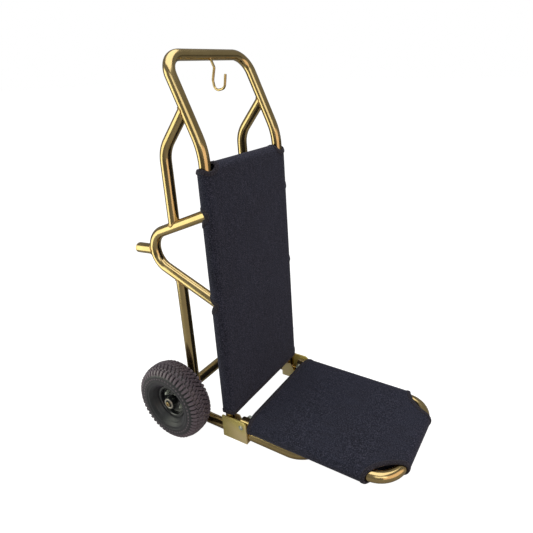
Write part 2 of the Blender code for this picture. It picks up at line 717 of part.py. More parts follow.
def add_wheel(hub, word, rubber, paint, zinc, plastic):
    def piece(name, mesh, mat):
        return add_object(f"{word}_{name}", mesh, hub, mat)

    outer = piece("rim_outer", turned("rim_outer", rim_profile(1), RIM_SIDES), paint)
    inner = piece("rim_inner", turned("rim_inner", rim_profile(-1), RIM_SIDES), paint)
    hole = [(0, -2 * RIM_T), (RIM_BOLT_HOLE_R, -2 * RIM_T), (RIM_BOLT_HOLE_R, 2 * RIM_T), (0, 2 * RIM_T)]
    for number in range(RIM_BOLTS):
        bolt = piece(f"rim_bolt_{number + 1}", turned("rim_bolt", rim_bolt_profile(), 6), zinc)
        bolt.location = rim_bolt_centre(number)
        cutter = add_cutter(f"bolt_hole_{word}_{number + 1}", turned("bolt_hole", hole, 8), hub)
        cutter.location = bolt.location
        combine(outer, cutter.name)
        combine(inner, cutter.name)
    valve_line = [Vector((VALVE_OUT, 0, VALVE_LOW)), Vector((VALVE_OUT, 0, VALVE_HIGH))]
    hole_line = [Vector((VALVE_OUT, 0, VALVE_LOW)), Vector((VALVE_OUT, 0, BEAD_R + RIM_T))]
    add_cutter(f"valve_hole_{word}", solid_rod("valve_hole", hole_line, VALVE_R + 2 * GAP, 8), hub)
    combine(outer, f"valve_hole_{word}")
    piece("tyre", turned("tyre", tyre_profile(), TYRE_SIDES), rubber)
    piece("inner_tube", turned("inner_tube", inner_tube_profile(), RIM_SIDES), rubber)
    piece("bearing_outer", turned("bearing_outer", bearing_profile(1), BEARING_SIDES), zinc)
    piece("bearing_inner", turned("bearing_inner", bearing_profile(-1), BEARING_SIDES), zinc)
    piece("valve_stem", solid_rod("valve_stem", valve_line, VALVE_R, 8), plastic)


def clip_face():
    """Distance from X = 0 to the near side of a spring clip."""
    return WHEEL_X + BEARING_OUT + AXLE_WASHER_T + 2 * GAP


def axle_profile():
    """A plain bar with a clip groove near each end and a centre hole in each end face."""
    groove_in = clip_face() - GAP
    groove_out = clip_face() + CLIP_T + GAP
    half = [(AXLE_R, groove_in), (CLIP_GROOVE_R, groove_in), (CLIP_GROOVE_R, groove_out), (AXLE_R, groove_out),
            (AXLE_R, AXLE_END), (AXLE_HOLE_R, AXLE_END), (0, AXLE_END - AXLE_HOLE_DEPTH)]
    return [(radius, -out) for radius, out in reversed(half)] + half


def ring_profile(bore, radius, start, end):
    return [(bore, start), (radius, start), (radius, end), (bore, end)]


def add_axle(frame, tube, steel):
    """The axle is welded into the backs of the uprights and holds the wheels with washers and spring clips."""
    axle = add_object("axle", turned("axle", axle_profile(), TUBE_SIDES), frame, tube)
    axle.location = (0, AXLE_Y, WHEEL_R)
    bore = AXLE_R + GAP
    washer_in = WHEEL_X + BEARING_OUT + GAP
    spacer = ring_profile(bore, AXLE_SPACER_R, CHEEK_IN + CHEEK_T, WHEEL_X - BEARING_OUT - GAP)
    washer = ring_profile(bore, AXLE_WASHER_R, washer_in, washer_in + AXLE_WASHER_T)
    clip = ring_profile(CLIP_BORE_R, CLIP_R, clip_face(), clip_face() + CLIP_T)
    for side, word in ((1, "left"), (-1, "right")):
        turn = 0 if side > 0 else math.pi
        hub = empty(f"{word}_axle_end", (0, AXLE_Y, WHEEL_R), frame, (0, 0, turn))
        add_object(f"axle_spacer_{word}", turned(f"axle_spacer_{word}", spacer, TUBE_SIDES), hub, tube)
        add_object(f"axle_washer_{word}", turned(f"axle_washer_{word}", washer, TUBE_SIDES), hub, steel)
        add_object(f"axle_clip_{word}", turned(f"axle_clip_{word}", clip, TUBE_SIDES), hub, steel)


# ---------------------------------------------------------------- assembly

def cart_centre_y():
    """Half way between the front of the platform cover and the back of the peg caps."""
    reach = DECK_REACH + COVER_HALF
    front = PIVOT_Y - reach * math.cos(DECK_TILT)
    dome = PEG_CAP_RIM + 0.75 * PEG_CAP_DOME
    back = peg_end()[0] + dome * math.cos(PEG_TILT) + 0.7 * TUBE_R * math.sin(PEG_TILT)
    return (front + back) / 2


def build():
    clear_scene()
    tube = gold_tube()
    plate = gold_plate()
    cloth = carpet()
    wood = plywood()
    zinc = zinc_steel()
    plastic = black_plastic()
    rubber = black_rubber()
    paint = black_paint()

    frame = empty("cart_frame", (0, -cart_centre_y(), 0))
    pivot = empty("platform_pivot", (0, PIVOT_Y, PIVOT_Z), frame)
    deck = empty("platform_fold", (0, PIVOT_Y, PIVOT_Z), frame, (DECK_TILT, 0, 0))
    add_cutters(frame, deck)

    add_handle_hoop(frame, tube)
    add_base_loop(frame, tube)
    add_cross_bar("cross_tube", frame, tube, HALF_TRACK, REAR_Y, CROSS_TUBE_Z, TUBE_R, "cut_base")
    add_garment_hook(frame, tube)
    add_back_panel(frame, cloth, wood, tube)
    add_platform(deck, cloth, wood, tube)
    add_axle(frame, tube, black_steel())
    for side, word in ((1, "left"), (-1, "right")):
        add_strut(frame, tube, side, word)
        add_side_loop(frame, tube, side, word)
        add_rest_peg(frame, tube, side, word)
        add_peg_cap(frame, tube, side, word)
        add_hinge_bracket(frame, plate, side, word)
        add_hinge_fasteners(pivot, deck, zinc, side, word)
        turn = 0 if side > 0 else math.pi
        wheel = empty(f"{word}_wheel_spin", (side * WHEEL_X, AXLE_Y, WHEEL_R), frame, (0, 0, turn))
        add_wheel(wheel, word, rubber, paint, zinc, plastic)


build()
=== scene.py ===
"""Look of the hotel luggage cart: tubes, welds, wheels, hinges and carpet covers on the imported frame.

Metres, +Z up. Shapes are worked out in the cart's design frame, where the back legs stand in the plane Y = 0,
and IN_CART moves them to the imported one. "Ahead" is towards -Y, where the platform reaches.
"""

import json
import math

import bmesh
import bpy
import numpy as np
from mathutils import Matrix, Vector, noise


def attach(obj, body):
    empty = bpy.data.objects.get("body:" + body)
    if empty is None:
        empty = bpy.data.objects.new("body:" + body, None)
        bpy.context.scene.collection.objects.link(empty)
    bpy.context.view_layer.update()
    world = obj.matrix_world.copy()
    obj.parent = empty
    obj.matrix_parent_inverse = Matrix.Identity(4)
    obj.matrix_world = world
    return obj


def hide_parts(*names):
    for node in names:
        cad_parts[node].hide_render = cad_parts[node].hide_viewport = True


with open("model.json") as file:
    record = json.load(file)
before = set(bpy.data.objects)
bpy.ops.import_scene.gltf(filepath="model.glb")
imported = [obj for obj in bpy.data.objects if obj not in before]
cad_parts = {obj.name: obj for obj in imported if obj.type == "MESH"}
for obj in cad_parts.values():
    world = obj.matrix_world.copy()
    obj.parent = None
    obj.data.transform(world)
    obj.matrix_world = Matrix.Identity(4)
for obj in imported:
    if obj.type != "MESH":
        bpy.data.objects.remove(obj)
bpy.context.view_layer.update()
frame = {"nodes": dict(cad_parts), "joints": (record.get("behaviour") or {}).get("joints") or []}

# tube stock
TUBE_R = 0.017
TUBE_WALL = 0.0015
AXLE_R = 0.008
HOOK_R = 0.004
TUBE_SIDES = 40
BEND_STEP = math.radians(4)

# frame
HALF_TRACK = 0.180
LEG_BEND_Z = 0.967
LEG_BEND_R = 0.20
HANDLE_Y = 0.1126
HANDLE_Z = 1.225
HANDLE_CORNER_R = 0.062
REAR_Y = 0.1504
STRUT_BEND_Z = 0.959
STRUT_BEND_R = 0.10
STRUT_TOP = (0.0504, 1.0825)
LOOP_TOP_Z = 0.782
LOOP_LOW_Z = 0.487
LOOP_SLOPE = 0.41
LOOP_BEND_R = 0.068
BASE_REAR_Z = 0.0233
BASE_REAR_R = 0.055
BASE_FRONT_Y = -0.325
BASE_FRONT_Z = 0.0173
BASE_FRONT_R = 0.10
CROSS_TUBE_Z = 0.151
PEG_DROP = 0.006
PEG_TILT = math.radians(4)
PEG_LENGTH = 0.0725
PEG_CAP_RIM = 0.004

# garment hook, as (y, z) corners of its bent wire
HOOK_SHANK = (0.1018, 1.215)
HOOK_SHOULDER = (0.0894, 1.188)
HOOK_NECK = (0.0995, 1.150)
HOOK_HEEL = (0.0935, 1.1175)
HOOK_TOE = (0.0555, 1.1260)
HOOK_TIP = (0.0479, 1.1681)
HOOK_NECK_R = 0.02
HOOK_BOW_R = 0.017

# carpet covers: half thickness, the cloth itself, and the rolled hem along its openings
COVER_HALF = 0.0217
COVER_EASE = 1.2  # how much further than the tubes' radius the cloth stands out at the sides
CLOTH_T = 0.0034
CLOTH_SAG = 0.0035
TURNED_IN = 0.02
BACK_COVER_LOW = 0.086
BACK_COVER_TOP = 0.930
BACK_SCOOP_R = 0.0315
DECK_COVER_REAR = 0.0172
CLOTH_STEP = 0.008
HEM_WIDTH = 0.012
HEM_OUT = 0.0020
HEM_IN = 0.0043
HEM_MIN_LOOP = 0.17
STITCH_STEP = 0.0075
STITCH_LENGTH = 0.0048
STITCH_R = 0.00055

# platform, measured ahead of its pivot
PIVOT_Y = -0.0585
PIVOT_Z = 0.060
DECK_TILT = math.radians(0.8)
DECK_HALF_TRACK = 0.1778
DECK_TAIL = 0.012
DECK_REACH = 0.5205
DECK_CORNER_R = 0.08

# hinge bracket
BRACKET_FLOOR_T = 0.003
BRACKET_FRONT_Y = -0.078
BRACKET_REAR_Y = 0.020
BRACKET_TOP_Z = 0.080
BRACKET_CORNER_R = 0.018
CHEEK_IN = HALF_TRACK + TUBE_R + 0.0003
CHEEK_T = 0.006
LIP_OUT = 0.160
LIP_T = 0.004
LIP_FRONT_Z = 0.024
LIP_REAR_Z = 0.060
HINGE_BOLT_R = 0.005

# wheels; "out" is the distance from the wheel's middle plane towards the axle's end
AXLE_Y = 0.1687
AXLE_END = 0.2905
AXLE_WASHER_T = 0.001
CLIP_R = 0.0102
CLIP_T = 0.001
WHEEL_R = 0.132
WHEEL_X = 0.2559
RIM_BOLT_CIRCLE = 0.0335
RIM_BOLTS = 4
RIM_BOLT_PHASE = 62
BEARING_IN = 0.018
BEARING_OUT = 0.030
BEARING_R = 0.0175
RIM_T = 0.0025
VALVE_OUT = 0.0062
WHEEL_SIDES = 96
BEARING_SIDES = 56
PART_SIDES = 40

# tyre: a superellipse round the sidewall's widest ring, with lugs standing on it
TYRE_HALF_WIDTH = 0.0414
TYRE_WIDEST_R = 0.092
TYRE_RISE = WHEEL_R - TYRE_WIDEST_R
TYRE_SQUARENESS = 2.6
TREAD_DEPTH = 0.0044
LUGS = 50

SIDES = ((1, "left"), (-1, "right"))

fold = next(joint for joint in frame["joints"] if joint["name"] == "platform_fold")
LEG_PLANE_Y = fold["pos_m"][1] - PIVOT_Y
IN_CART = Matrix.Translation((0, LEG_PLANE_Y, 0))
ON_DECK = IN_CART @ Matrix.Translation((0, PIVOT_Y, PIVOT_Z)) @ Matrix.Rotation(DECK_TILT, 4, "X")


# ---------------------------------------------------------------- centre lines

def mirrored(path):
    """A path that crosses X = 0, from its +X half."""
    return path + [Vector((-p.x, p.y, p.z)) for p in reversed(path)]


def bent(corners):
    """Points of a bent tube's centre line; each corner is (point, bend radius)."""
    points = [Vector(corners[0][0])]
    for before, here, after in zip(corners, corners[1:], corners[2:]):
        corner = Vector(here[0])
        arriving = (corner - Vector(before[0])).normalized()
        leaving = (Vector(after[0]) - corner).normalized()
        turn = arriving.angle(leaving)
        start = corner - arriving * here[1] * math.tan(turn / 2)
        axis = arriving.cross(leaving).normalized()
        centre = start + axis.cross(arriving) * here[1]
        steps = max(2, round(turn / BEND_STEP))
        for step in range(steps + 1):
            points.append(centre + Matrix.Rotation(turn * step / steps, 3, axis) @ (start - centre))
    points.append(Vector(corners[-1][0]))
    return points


def base_height(y):
    share = (y - BASE_FRONT_Y) / (REAR_Y - BASE_FRONT_Y)
    return BASE_FRONT_Z + share * (BASE_REAR_Z - BASE_FRONT_Z)


def loop_height(y, upper):
    return LOOP_TOP_Z - LOOP_SLOPE * y if upper else LOOP_LOW_Z + LOOP_SLOPE * y


def loop_meet_y():
    return (LOOP_TOP_Z - LOOP_LOW_Z) / (2 * LOOP_SLOPE)


def loop_apex():
    y = loop_meet_y() - LOOP_BEND_R * (1 / math.sin(math.atan(LOOP_SLOPE)) - 1)
    return y, (LOOP_TOP_Z + LOOP_LOW_Z) / 2


def peg_path(side):
    """The rest peg's centre line; it slopes down from the loop's apex to its capped end."""
    y, z = loop_apex()
    start = Vector((side * HALF_TRACK, y, z - PEG_DROP))
    slope = Vector((0, math.cos(PEG_TILT), -math.sin(PEG_TILT)))
    return [start + slope * PEG_LENGTH * share for share in (0, 0.5, 1)]


def handle_path():
    x = HALF_TRACK
    half = bent([((x, 0, base_height(0)), 0), ((x, 0, LEG_BEND_Z), LEG_BEND_R),
                 ((x, HANDLE_Y, HANDLE_Z), HANDLE_CORNER_R), ((0, HANDLE_Y, HANDLE_Z), 0)])
    return mirrored(half[:-1])


def strut_path(side):
    x = side * HALF_TRACK
    return bent([((x, REAR_Y, loop_height(REAR_Y, upper=True)), 0), ((x, REAR_Y, STRUT_BEND_Z), STRUT_BEND_R),
                 ((x, *STRUT_TOP), 0)])


def side_loop_path(side):
    x = side * HALF_TRACK
    meet = loop_meet_y()
    return bent([((x, 0, LOOP_TOP_Z), 0), ((x, meet, loop_height(meet, upper=True)), LOOP_BEND_R),
                 ((x, 0, LOOP_LOW_Z), 0)])


def base_path():
    x = HALF_TRACK
    half = bent([((x, REAR_Y, loop_height(REAR_Y, upper=False)), 0), ((x, REAR_Y, BASE_REAR_Z), BASE_REAR_R),
                 ((x, BASE_FRONT_Y, BASE_FRONT_Z), BASE_FRONT_R), ((0, BASE_FRONT_Y, BASE_FRONT_Z), 0)])
    return mirrored(half[:-1])


def deck_path():
    x = DECK_HALF_TRACK
    half = bent([((x, DECK_TAIL, 0), 0), ((x, -DECK_REACH, 0), DECK_CORNER_R), ((0, -DECK_REACH, 0), 0)])
    return mirrored(half[:-1])


def hook_path():
    """A bent wire from under the handle bar: a short shank, an S bend and the open hook."""
    return bent([((0, *HOOK_SHANK), 0), ((0, *HOOK_SHOULDER), 2 * HOOK_R), ((0, *HOOK_NECK), HOOK_NECK_R),
                 ((0, *HOOK_HEEL), HOOK_BOW_R), ((0, *HOOK_TOE), HOOK_BOW_R), ((0, *HOOK_TIP), 0)])


# ---------------------------------------------------------------- mesh helpers

def arc(centre, radius, start_deg, end_deg, steps):
    angles = [math.radians(start_deg + (end_deg - start_deg) * i / steps) for i in range(steps + 1)]
    return [(centre[0] + radius * math.cos(a), centre[1] + radius * math.sin(a)) for a in angles]


def circle(radius, sides):
    return arc((0, 0), radius, 0, 360, sides)[:-1]


def softened(points, reach, steps=3, closed=True):
    """An outline with each corner cut back by reach and rounded."""
    out = []
    last = len(points) - 1
    for i, point in enumerate(points):
        here = Vector(point)
        if not closed and i in (0, last):
            out.append(here)
            continue
        before = Vector(points[i - 1]) - here
        after = Vector(points[(i + 1) % len(points)]) - here
        start = here + before.normalized() * min(reach, before.length * 0.45)
        end = here + after.normalized() * min(reach, after.length * 0.45)
        for step in range(steps + 1):
            t = step / steps
            out.append(start * (1 - t) ** 2 + here * 2 * t * (1 - t) + end * t * t)
    return out


def spline(points, steps):
    """Catmull-Rom curve through 2-D points."""
    padded = [Vector(points[0])] + [Vector(p) for p in points] + [Vector(points[-1])]
    out = []
    for a, b, c, d in zip(padded, padded[1:], padded[2:], padded[3:]):
        for step in range(steps):
            t = step / steps
            out.append(0.5 * (2 * b + (c - a) * t + (2 * a - 5 * b + 4 * c - d) * t * t
                              + (3 * b - a - 3 * c + d) * t ** 3))
    out.append(padded[-1])
    return out


def facing(side):
    """Turns a part made for the left side to face its own side."""
    return Matrix.Rotation(0 if side > 0 else math.pi, 4, "Z")


def frames_along(path):
    """Two side directions at each point of an open path, turned as little as possible on the way."""
    frames = []
    side = None
    for i in range(len(path)):
        tangent = (path[min(i + 1, len(path) - 1)] - path[max(i - 1, 0)]).normalized()
        side = tangent.orthogonal() if side is None else side - tangent * side.dot(tangent)
        side.normalize()
        frames.append((side.copy(), tangent.cross(side)))
    return frames


def bridge(bm, low, high):
    count = len(low)
    for i in range(count):
        j = (i + 1) % count
        bm.faces.new((low[i], low[j], high[j], high[i]))


def sweep(bm, path, frames, profiles, closed=False):
    """Rings along a path; profiles holds one list of (side, up) points for each path point."""
    rings = []
    for point, (side, up), profile in zip(path, frames, profiles):
        rings.append([bm.verts.new(point + side * a + up * b) for a, b in profile])
    for low, high in zip(rings, rings[1:]):
        bridge(bm, low, high)
    if closed:
        bridge(bm, rings[-1], rings[0])
    return rings


def to_mesh(bm, matrix, sharp_deg=38):
    bmesh.ops.recalc_face_normals(bm, faces=bm.faces)
    mesh = bpy.data.meshes.new("shape")
    bm.to_mesh(mesh)
    bm.free()
    mesh.transform(matrix)
    mesh.shade_smooth()
    mesh.set_sharp_from_angle(angle=math.radians(sharp_deg))
    return mesh


def piece(name, mesh, mat, body, replaces=()):
    """A shown piece that rides on a body and takes the finish it is given."""
    mesh.name = name
    obj = bpy.data.objects.new(name, mesh)
    bpy.context.scene.collection.objects.link(obj)
    if not mesh.materials:
        mesh.materials.append(mat)
    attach(obj, body)
    if replaces:
        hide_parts(*replaces)
    return obj


def stand_in(node, mesh, mat, body="frame"):
    """The detailed piece that is shown for one CAD node."""
    return piece(f"{node}_fine", mesh, mat, body, [node])


def tube_mesh(path, radius, matrix=IN_CART, wall=None, sides=TUBE_SIDES):
    """A swept tube, solid or with open ends; tube_space unrolls its skin for the brushed finish."""
    bm = bmesh.new()
    frames = frames_along(path)
    outer = sweep(bm, path, frames, [circle(radius, sides)] * len(path))
    space = []
    run = 0.0
    for i, point in enumerate(path):
        run += (point - path[i - 1]).length if i else 0.0
        space += [(a, b, run) for a, b in circle(radius, sides)]
    if wall:
        bore = circle(radius - wall, sides)
        inner = sweep(bm, path, frames, [bore] * len(path))
        bridge(bm, outer[0], inner[0])
        bridge(bm, outer[-1], inner[-1])
        space += space
    else:
        bm.faces.new(outer[0])
        bm.faces.new(outer[-1])
    mesh = to_mesh(bm, matrix)
    store = mesh.attributes.new("tube_space", "FLOAT_VECTOR", "POINT")
    store.data.foreach_set("vector", np.array(space, np.float32).ravel())
    return mesh


def turned_bmesh(bm, profile, sides, closed=True, phase=0.0):
    """Spin (radius, out) points about X; a point on the axis becomes a pole."""
    columns = []
    for radius, out in profile:
        if radius < 1e-7:
            columns.append([bm.verts.new((out, 0, 0))])
            continue
        angles = [2 * math.pi * (i + phase) / sides for i in range(sides)]
        columns.append([bm.verts.new((out, radius * math.sin(a), radius * math.cos(a))) for a in angles])
    pairs = list(zip(columns, columns[1:]))
    if closed:
        pairs.append((columns[-1], columns[0]))
    for low, high in pairs:
        for i in range(sides):
            j = (i + 1) % sides
            corners = [low[i % len(low)], low[j % len(low)], high[j % len(high)], high[i % len(high)]]
            unique = list(dict.fromkeys(corners))
            if len(unique) > 2:
                bm.faces.new(unique)


def turned_mesh(profile, matrix, sides=PART_SIDES, closed=True):
    bm = bmesh.new()
    turned_bmesh(bm, profile, sides, closed)
    return to_mesh(bm, matrix)


def prism_bmesh(bm, outline, low, high, place, rounding=0.0):
    """An outline of (u, v) points, extruded from low to high, with its edges rounded."""
    start = len(bm.verts)
    face = bm.faces.new([bm.verts.new(place(u, v, low)) for u, v in outline])
    top = bmesh.ops.extrude_face_region(bm, geom=[face])["geom"]
    shift = Vector(place(0, 0, high)) - Vector(place(0, 0, low))
    bmesh.ops.translate(bm, verts=[v for v in top if isinstance(v, bmesh.types.BMVert)], vec=shift)
    bm.verts.ensure_lookup_table()
    if rounding:
        own = set(bm.verts[start:])
        edges = [e for e in bm.edges if e.verts[0] in own and e.calc_face_angle(0) > math.radians(25)]
        bmesh.ops.bevel(bm, geom=edges, offset=rounding, segments=3, profile=0.5, affect="EDGES")


def evaluated_mesh(obj):
    graph = bpy.context.evaluated_depsgraph_get()
    return bpy.data.meshes.new_from_object(obj.evaluated_get(graph))


# ---------------------------------------------------------------- material helpers

def new_material(name):
    mat = bpy.data.materials.new(name)
    mat.use_nodes = True
    return mat, mat.node_tree, mat.node_tree.nodes["Principled BSDF"]


def place_in(tree, attribute=None, scale=(1, 1, 1)):
    """Coordinates for a texture: the object's own, or the unrolled ones of a tube."""
    if attribute:
        source = tree.nodes.new("ShaderNodeAttribute")
        source.attribute_name = attribute
        out = source.outputs["Vector"]
    else:
        out = tree.nodes.new("ShaderNodeTexCoord").outputs["Object"]
    mapping = tree.nodes.new("ShaderNodeMapping")
    mapping.inputs["Scale"].default_value = scale
    tree.links.new(out, mapping.inputs["Vector"])
    return mapping.outputs["Vector"]


def noise_in(tree, vector, scale, detail=3.0, roughness=0.55):
    texture = tree.nodes.new("ShaderNodeTexNoise")
    texture.inputs["Scale"].default_value = scale
    texture.inputs["Detail"].default_value = detail
    texture.inputs["Roughness"].default_value = roughness
    tree.links.new(vector, texture.inputs["Vector"])
    return texture.outputs["Fac"]


def ramp(tree, factor, stops):
    """A colour ramp from (position, (r, g, b)) or (position, grey) stops."""
    node = tree.nodes.new("ShaderNodeValToRGB")
    elements = node.color_ramp.elements
    while len(elements) < len(stops):
        elements.new(0.5)
    for element, (position, value) in zip(elements, stops):
        colour = value if isinstance(value, tuple) else (value, value, value)
        element.position = position
        element.color = (*colour, 1.0)
    tree.links.new(factor, node.inputs["Fac"])
    return node.outputs["Color"]


def mixed(tree, factor, first, second, mode="MIX"):
    """Mix of two colour outputs; the factor is an output or a number."""
    node = tree.nodes.new("ShaderNodeMix")
    node.data_type = "RGBA"
    node.blend_type = mode
    if isinstance(factor, float):
        node.inputs[0].default_value = factor
    else:
        tree.links.new(factor, node.inputs[0])
    for socket, value in ((node.inputs[6], first), (node.inputs[7], second)):
        if isinstance(value, tuple):
            socket.default_value = (*value, 1.0)
        else:
            tree.links.new(value, socket)
    return node.outputs[2]


def summed(tree, first, second, weight):
    """first + second * weight."""
    node = tree.nodes.new("ShaderNodeMath")
    node.operation = "MULTIPLY_ADD"
    tree.links.new(second, node.inputs[0])
    node.inputs[1].default_value = weight
    tree.links.new(first, node.inputs[2])
    return node.outputs["Value"]


def bump(tree, shader, height, strength, distance):
    node = tree.nodes.new("ShaderNodeBump")
    node.inputs["Strength"].default_value = strength
    node.inputs["Distance"].default_value = distance
    tree.links.new(height, node.inputs["Height"])
    tree.links.new(node.outputs["Normal"], shader.inputs["Normal"])


def convex_edge_mask(tree, low, high):
    """0 in the open and 1 along convex edges."""
    geometry = tree.nodes.new("ShaderNodeNewGeometry")
    return ramp(tree, geometry.outputs["Pointiness"], [(low, 0.0), (high, 1.0)])


# ---------------------------------------------------------------- materials

def brushed_gold(name, attribute):
    """Gold-coloured plating brushed along the tube, slightly clouded, with faint handling marks."""
    mat, tree, shader = new_material(name)
    along = (1.0, 1.0, 0.035)
    streaks = noise_in(tree, place_in(tree, attribute, along), 1900.0, 3.0, 0.6)
    clouds = noise_in(tree, place_in(tree, None), 9.0, 4.0)
    tone = ramp(tree, clouds, [(0.30, (0.47, 0.350, 0.155)), (0.70, (0.58, 0.450, 0.215))])
    fine = ramp(tree, streaks, [(0.25, (0.90, 0.87, 0.82)), (0.75, (1.0, 1.0, 1.0))])
    colour = mixed(tree, 1.0, tone, fine, "MULTIPLY")
    tree.links.new(colour, shader.inputs["Base Color"])
    satin = ramp(tree, clouds, [(0.30, 0.15), (0.70, 0.21)])
    tree.links.new(satin, shader.inputs["Roughness"])
    shader.inputs["Metallic"].default_value = 1.0
    bump(tree, shader, streaks, 0.008, 0.0003)
    return mat


def weld_gold():
    """Weld beads under the same plating: darker and less even."""
    mat, tree, shader = new_material("weld_gold")
    patches = noise_in(tree, place_in(tree), 260.0, 4.0)
    tree.links.new(ramp(tree, patches, [(0.3, (0.30, 0.17, 0.06)), (0.7, (0.55, 0.37, 0.15))]),
                   shader.inputs["Base Color"])
    tree.links.new(ramp(tree, patches, [(0.3, 0.28), (0.7, 0.46)]), shader.inputs["Roughness"])
    shader.inputs["Metallic"].default_value = 1.0
    bump(tree, shader, patches, 0.35, 0.0005)
    return mat


def plate_gold():
    """Sprayed gold on the hinge plates: flat, finely speckled, bare along the worn edges."""
    mat, tree, shader = new_material("plate_gold")
    speckle = noise_in(tree, place_in(tree), 900.0, 2.0, 0.7)
    clouds = noise_in(tree, place_in(tree), 30.0, 3.0)
    base = ramp(tree, speckle, [(0.34, (0.40, 0.31, 0.06)), (0.50, (0.72, 0.60, 0.17)),
                                (0.68, (0.94, 0.84, 0.36))])
    shade = ramp(tree, clouds, [(0.3, (0.86, 0.86, 0.84)), (0.7, (1.0, 1.0, 1.0))])
    toned = mixed(tree, 1.0, base, shade, "MULTIPLY")
    colour = mixed(tree, convex_edge_mask(tree, 0.54, 0.62), toned, (0.80, 0.66, 0.36))
    tree.links.new(colour, shader.inputs["Base Color"])
    tree.links.new(ramp(tree, speckle, [(0.3, 0.38), (0.7, 0.55)]), shader.inputs["Roughness"])
    shader.inputs["Metallic"].default_value = 0.45
    bump(tree, shader, speckle, 0.25, 0.0004)
    return mat


def ribbed_carpet(name, base, fleck, rib_axis):
    """Needle-punched carpet: fine ribs, a fibrous ground and paler flecks; ribs run along one axis."""
    mat, tree, shader = new_material(name)
    stretch = {"Y": (1.0, 0.06, 1.0), "Z": (1.0, 1.0, 0.06)}[rib_axis]
    ribs = noise_in(tree, place_in(tree, None, stretch), 330.0, 2.0, 0.5)
    fibres = noise_in(tree, place_in(tree), 1500.0, 4.0, 0.7)
    flecks = noise_in(tree, place_in(tree), 360.0, 3.0, 0.7)
    clouds = noise_in(tree, place_in(tree), 7.0, 3.0)
    dull = tuple(0.82 * c for c in base)
    clear = tuple(1.18 * c for c in base)
    ground = ramp(tree, clouds, [(0.30, dull), (0.72, clear)])
    ribbed = mixed(tree, 1.0, ground, ramp(tree, ribs, [(0.30, 0.60), (0.66, 1.25)]), "MULTIPLY")
    speckled = mixed(tree, ramp(tree, flecks, [(0.49, 0.0), (0.63, 0.95)]), ribbed, fleck)
    colour = mixed(tree, ramp(tree, fibres, [(0.35, 0.35), (0.60, 0.0)]), speckled, (0.004, 0.004, 0.007))
    tree.links.new(colour, shader.inputs["Base Color"])
    shader.inputs["Roughness"].default_value = 0.95
    shader.inputs["Specular IOR Level"].default_value = 0.25
    shader.inputs["Sheen Weight"].default_value = 0.16
    shader.inputs["Sheen Roughness"].default_value = 0.45
    shader.inputs["Sheen Tint"].default_value = (0.62, 0.60, 0.78, 1.0)
    bump(tree, shader, summed(tree, ribs, fibres, 0.6), 0.55, 0.0016)
    return mat


def thread():
    """Dark twisted thread of the stitches."""
    mat, tree, shader = new_material("stitch_thread")
    twist = noise_in(tree, place_in(tree, None, (1.0, 1.0, 1.0)), 1800.0, 2.0)
    tree.links.new(ramp(tree, twist, [(0.3, (0.012, 0.012, 0.018)), (0.7, (0.06, 0.058, 0.072))]),
                   shader.inputs["Base Color"])
    shader.inputs["Roughness"].default_value = 0.6
    bump(tree, shader, twist, 0.4, 0.0003)
    return mat


def tyre_rubber(axle_point):
    """Moulded rubber: a dull grey sidewall, and a tread that is browner and dusty; the lugs' convex edges are
    painted paler, partly rubbed wear and partly a painted highlight.
    """
    mat, tree, shader = new_material("tyre_rubber")
    offset = tree.nodes.new("ShaderNodeVectorMath")
    offset.operation = "SUBTRACT"
    offset.inputs[1].default_value = axle_point
    tree.links.new(tree.nodes.new("ShaderNodeTexCoord").outputs["Object"], offset.inputs[0])
    flat = tree.nodes.new("ShaderNodeVectorMath")
    flat.operation = "MULTIPLY"
    flat.inputs[1].default_value = (0.0, 1.0, 1.0)
    tree.links.new(offset.outputs["Vector"], flat.inputs[0])
    length = tree.nodes.new("ShaderNodeVectorMath")
    length.operation = "LENGTH"
    tree.links.new(flat.outputs["Vector"], length.inputs[0])
    reach = tree.nodes.new("ShaderNodeMapRange")
    reach.inputs["From Min"].default_value = 0.108
    reach.inputs["From Max"].default_value = 0.127
    tree.links.new(length.outputs["Value"], reach.inputs["Value"])
    grain = noise_in(tree, place_in(tree), 700.0, 3.0)
    dust = noise_in(tree, place_in(tree), 45.0, 4.0)
    sidewall = ramp(tree, dust, [(0.32, (0.006, 0.007, 0.008)), (0.70, (0.015, 0.018, 0.020))])
    tread = ramp(tree, dust, [(0.32, (0.004, 0.003, 0.004)), (0.70, (0.016, 0.012, 0.015))])
    colour = mixed(tree, reach.outputs["Result"], sidewall, tread)
    # lugs' convex edges painted a pale purple-grey: partly rubbed wear, partly a painted highlight, which
    # leaves the recesses as painted shade
    worn_and_highlit = mixed(tree, convex_edge_mask(tree, 0.53, 0.60), colour, (0.115, 0.092, 0.110))
    tree.links.new(worn_and_highlit, shader.inputs["Base Color"])
    tree.links.new(ramp(tree, grain, [(0.3, 0.34), (0.7, 0.54)]), shader.inputs["Roughness"])
    shader.inputs["Sheen Weight"].default_value = 0.10
    shader.inputs["Sheen Tint"].default_value = (0.78, 0.68, 0.90, 1.0)
    bump(tree, shader, summed(tree, grain, dust, 0.5), 0.20, 0.0006)
    return mat


def gloss_black():
    """Black stove paint on the pressed rims, with an orange-peel surface and a little dust."""
    mat, tree, shader = new_material("rim_gloss_black")
    peel = noise_in(tree, place_in(tree), 320.0, 2.0)
    dust = noise_in(tree, place_in(tree), 60.0, 4.0)
    tree.links.new(ramp(tree, dust, [(0.4, (0.004, 0.005, 0.006)), (0.8, (0.016, 0.018, 0.020))]),
                   shader.inputs["Base Color"])
    tree.links.new(ramp(tree, dust, [(0.4, 0.10), (0.8, 0.26)]), shader.inputs["Roughness"])
    shader.inputs["Coat Weight"].default_value = 0.5
    shader.inputs["Coat Roughness"].default_value = 0.08
    bump(tree, shader, peel, 0.06, 0.0006)
    return mat


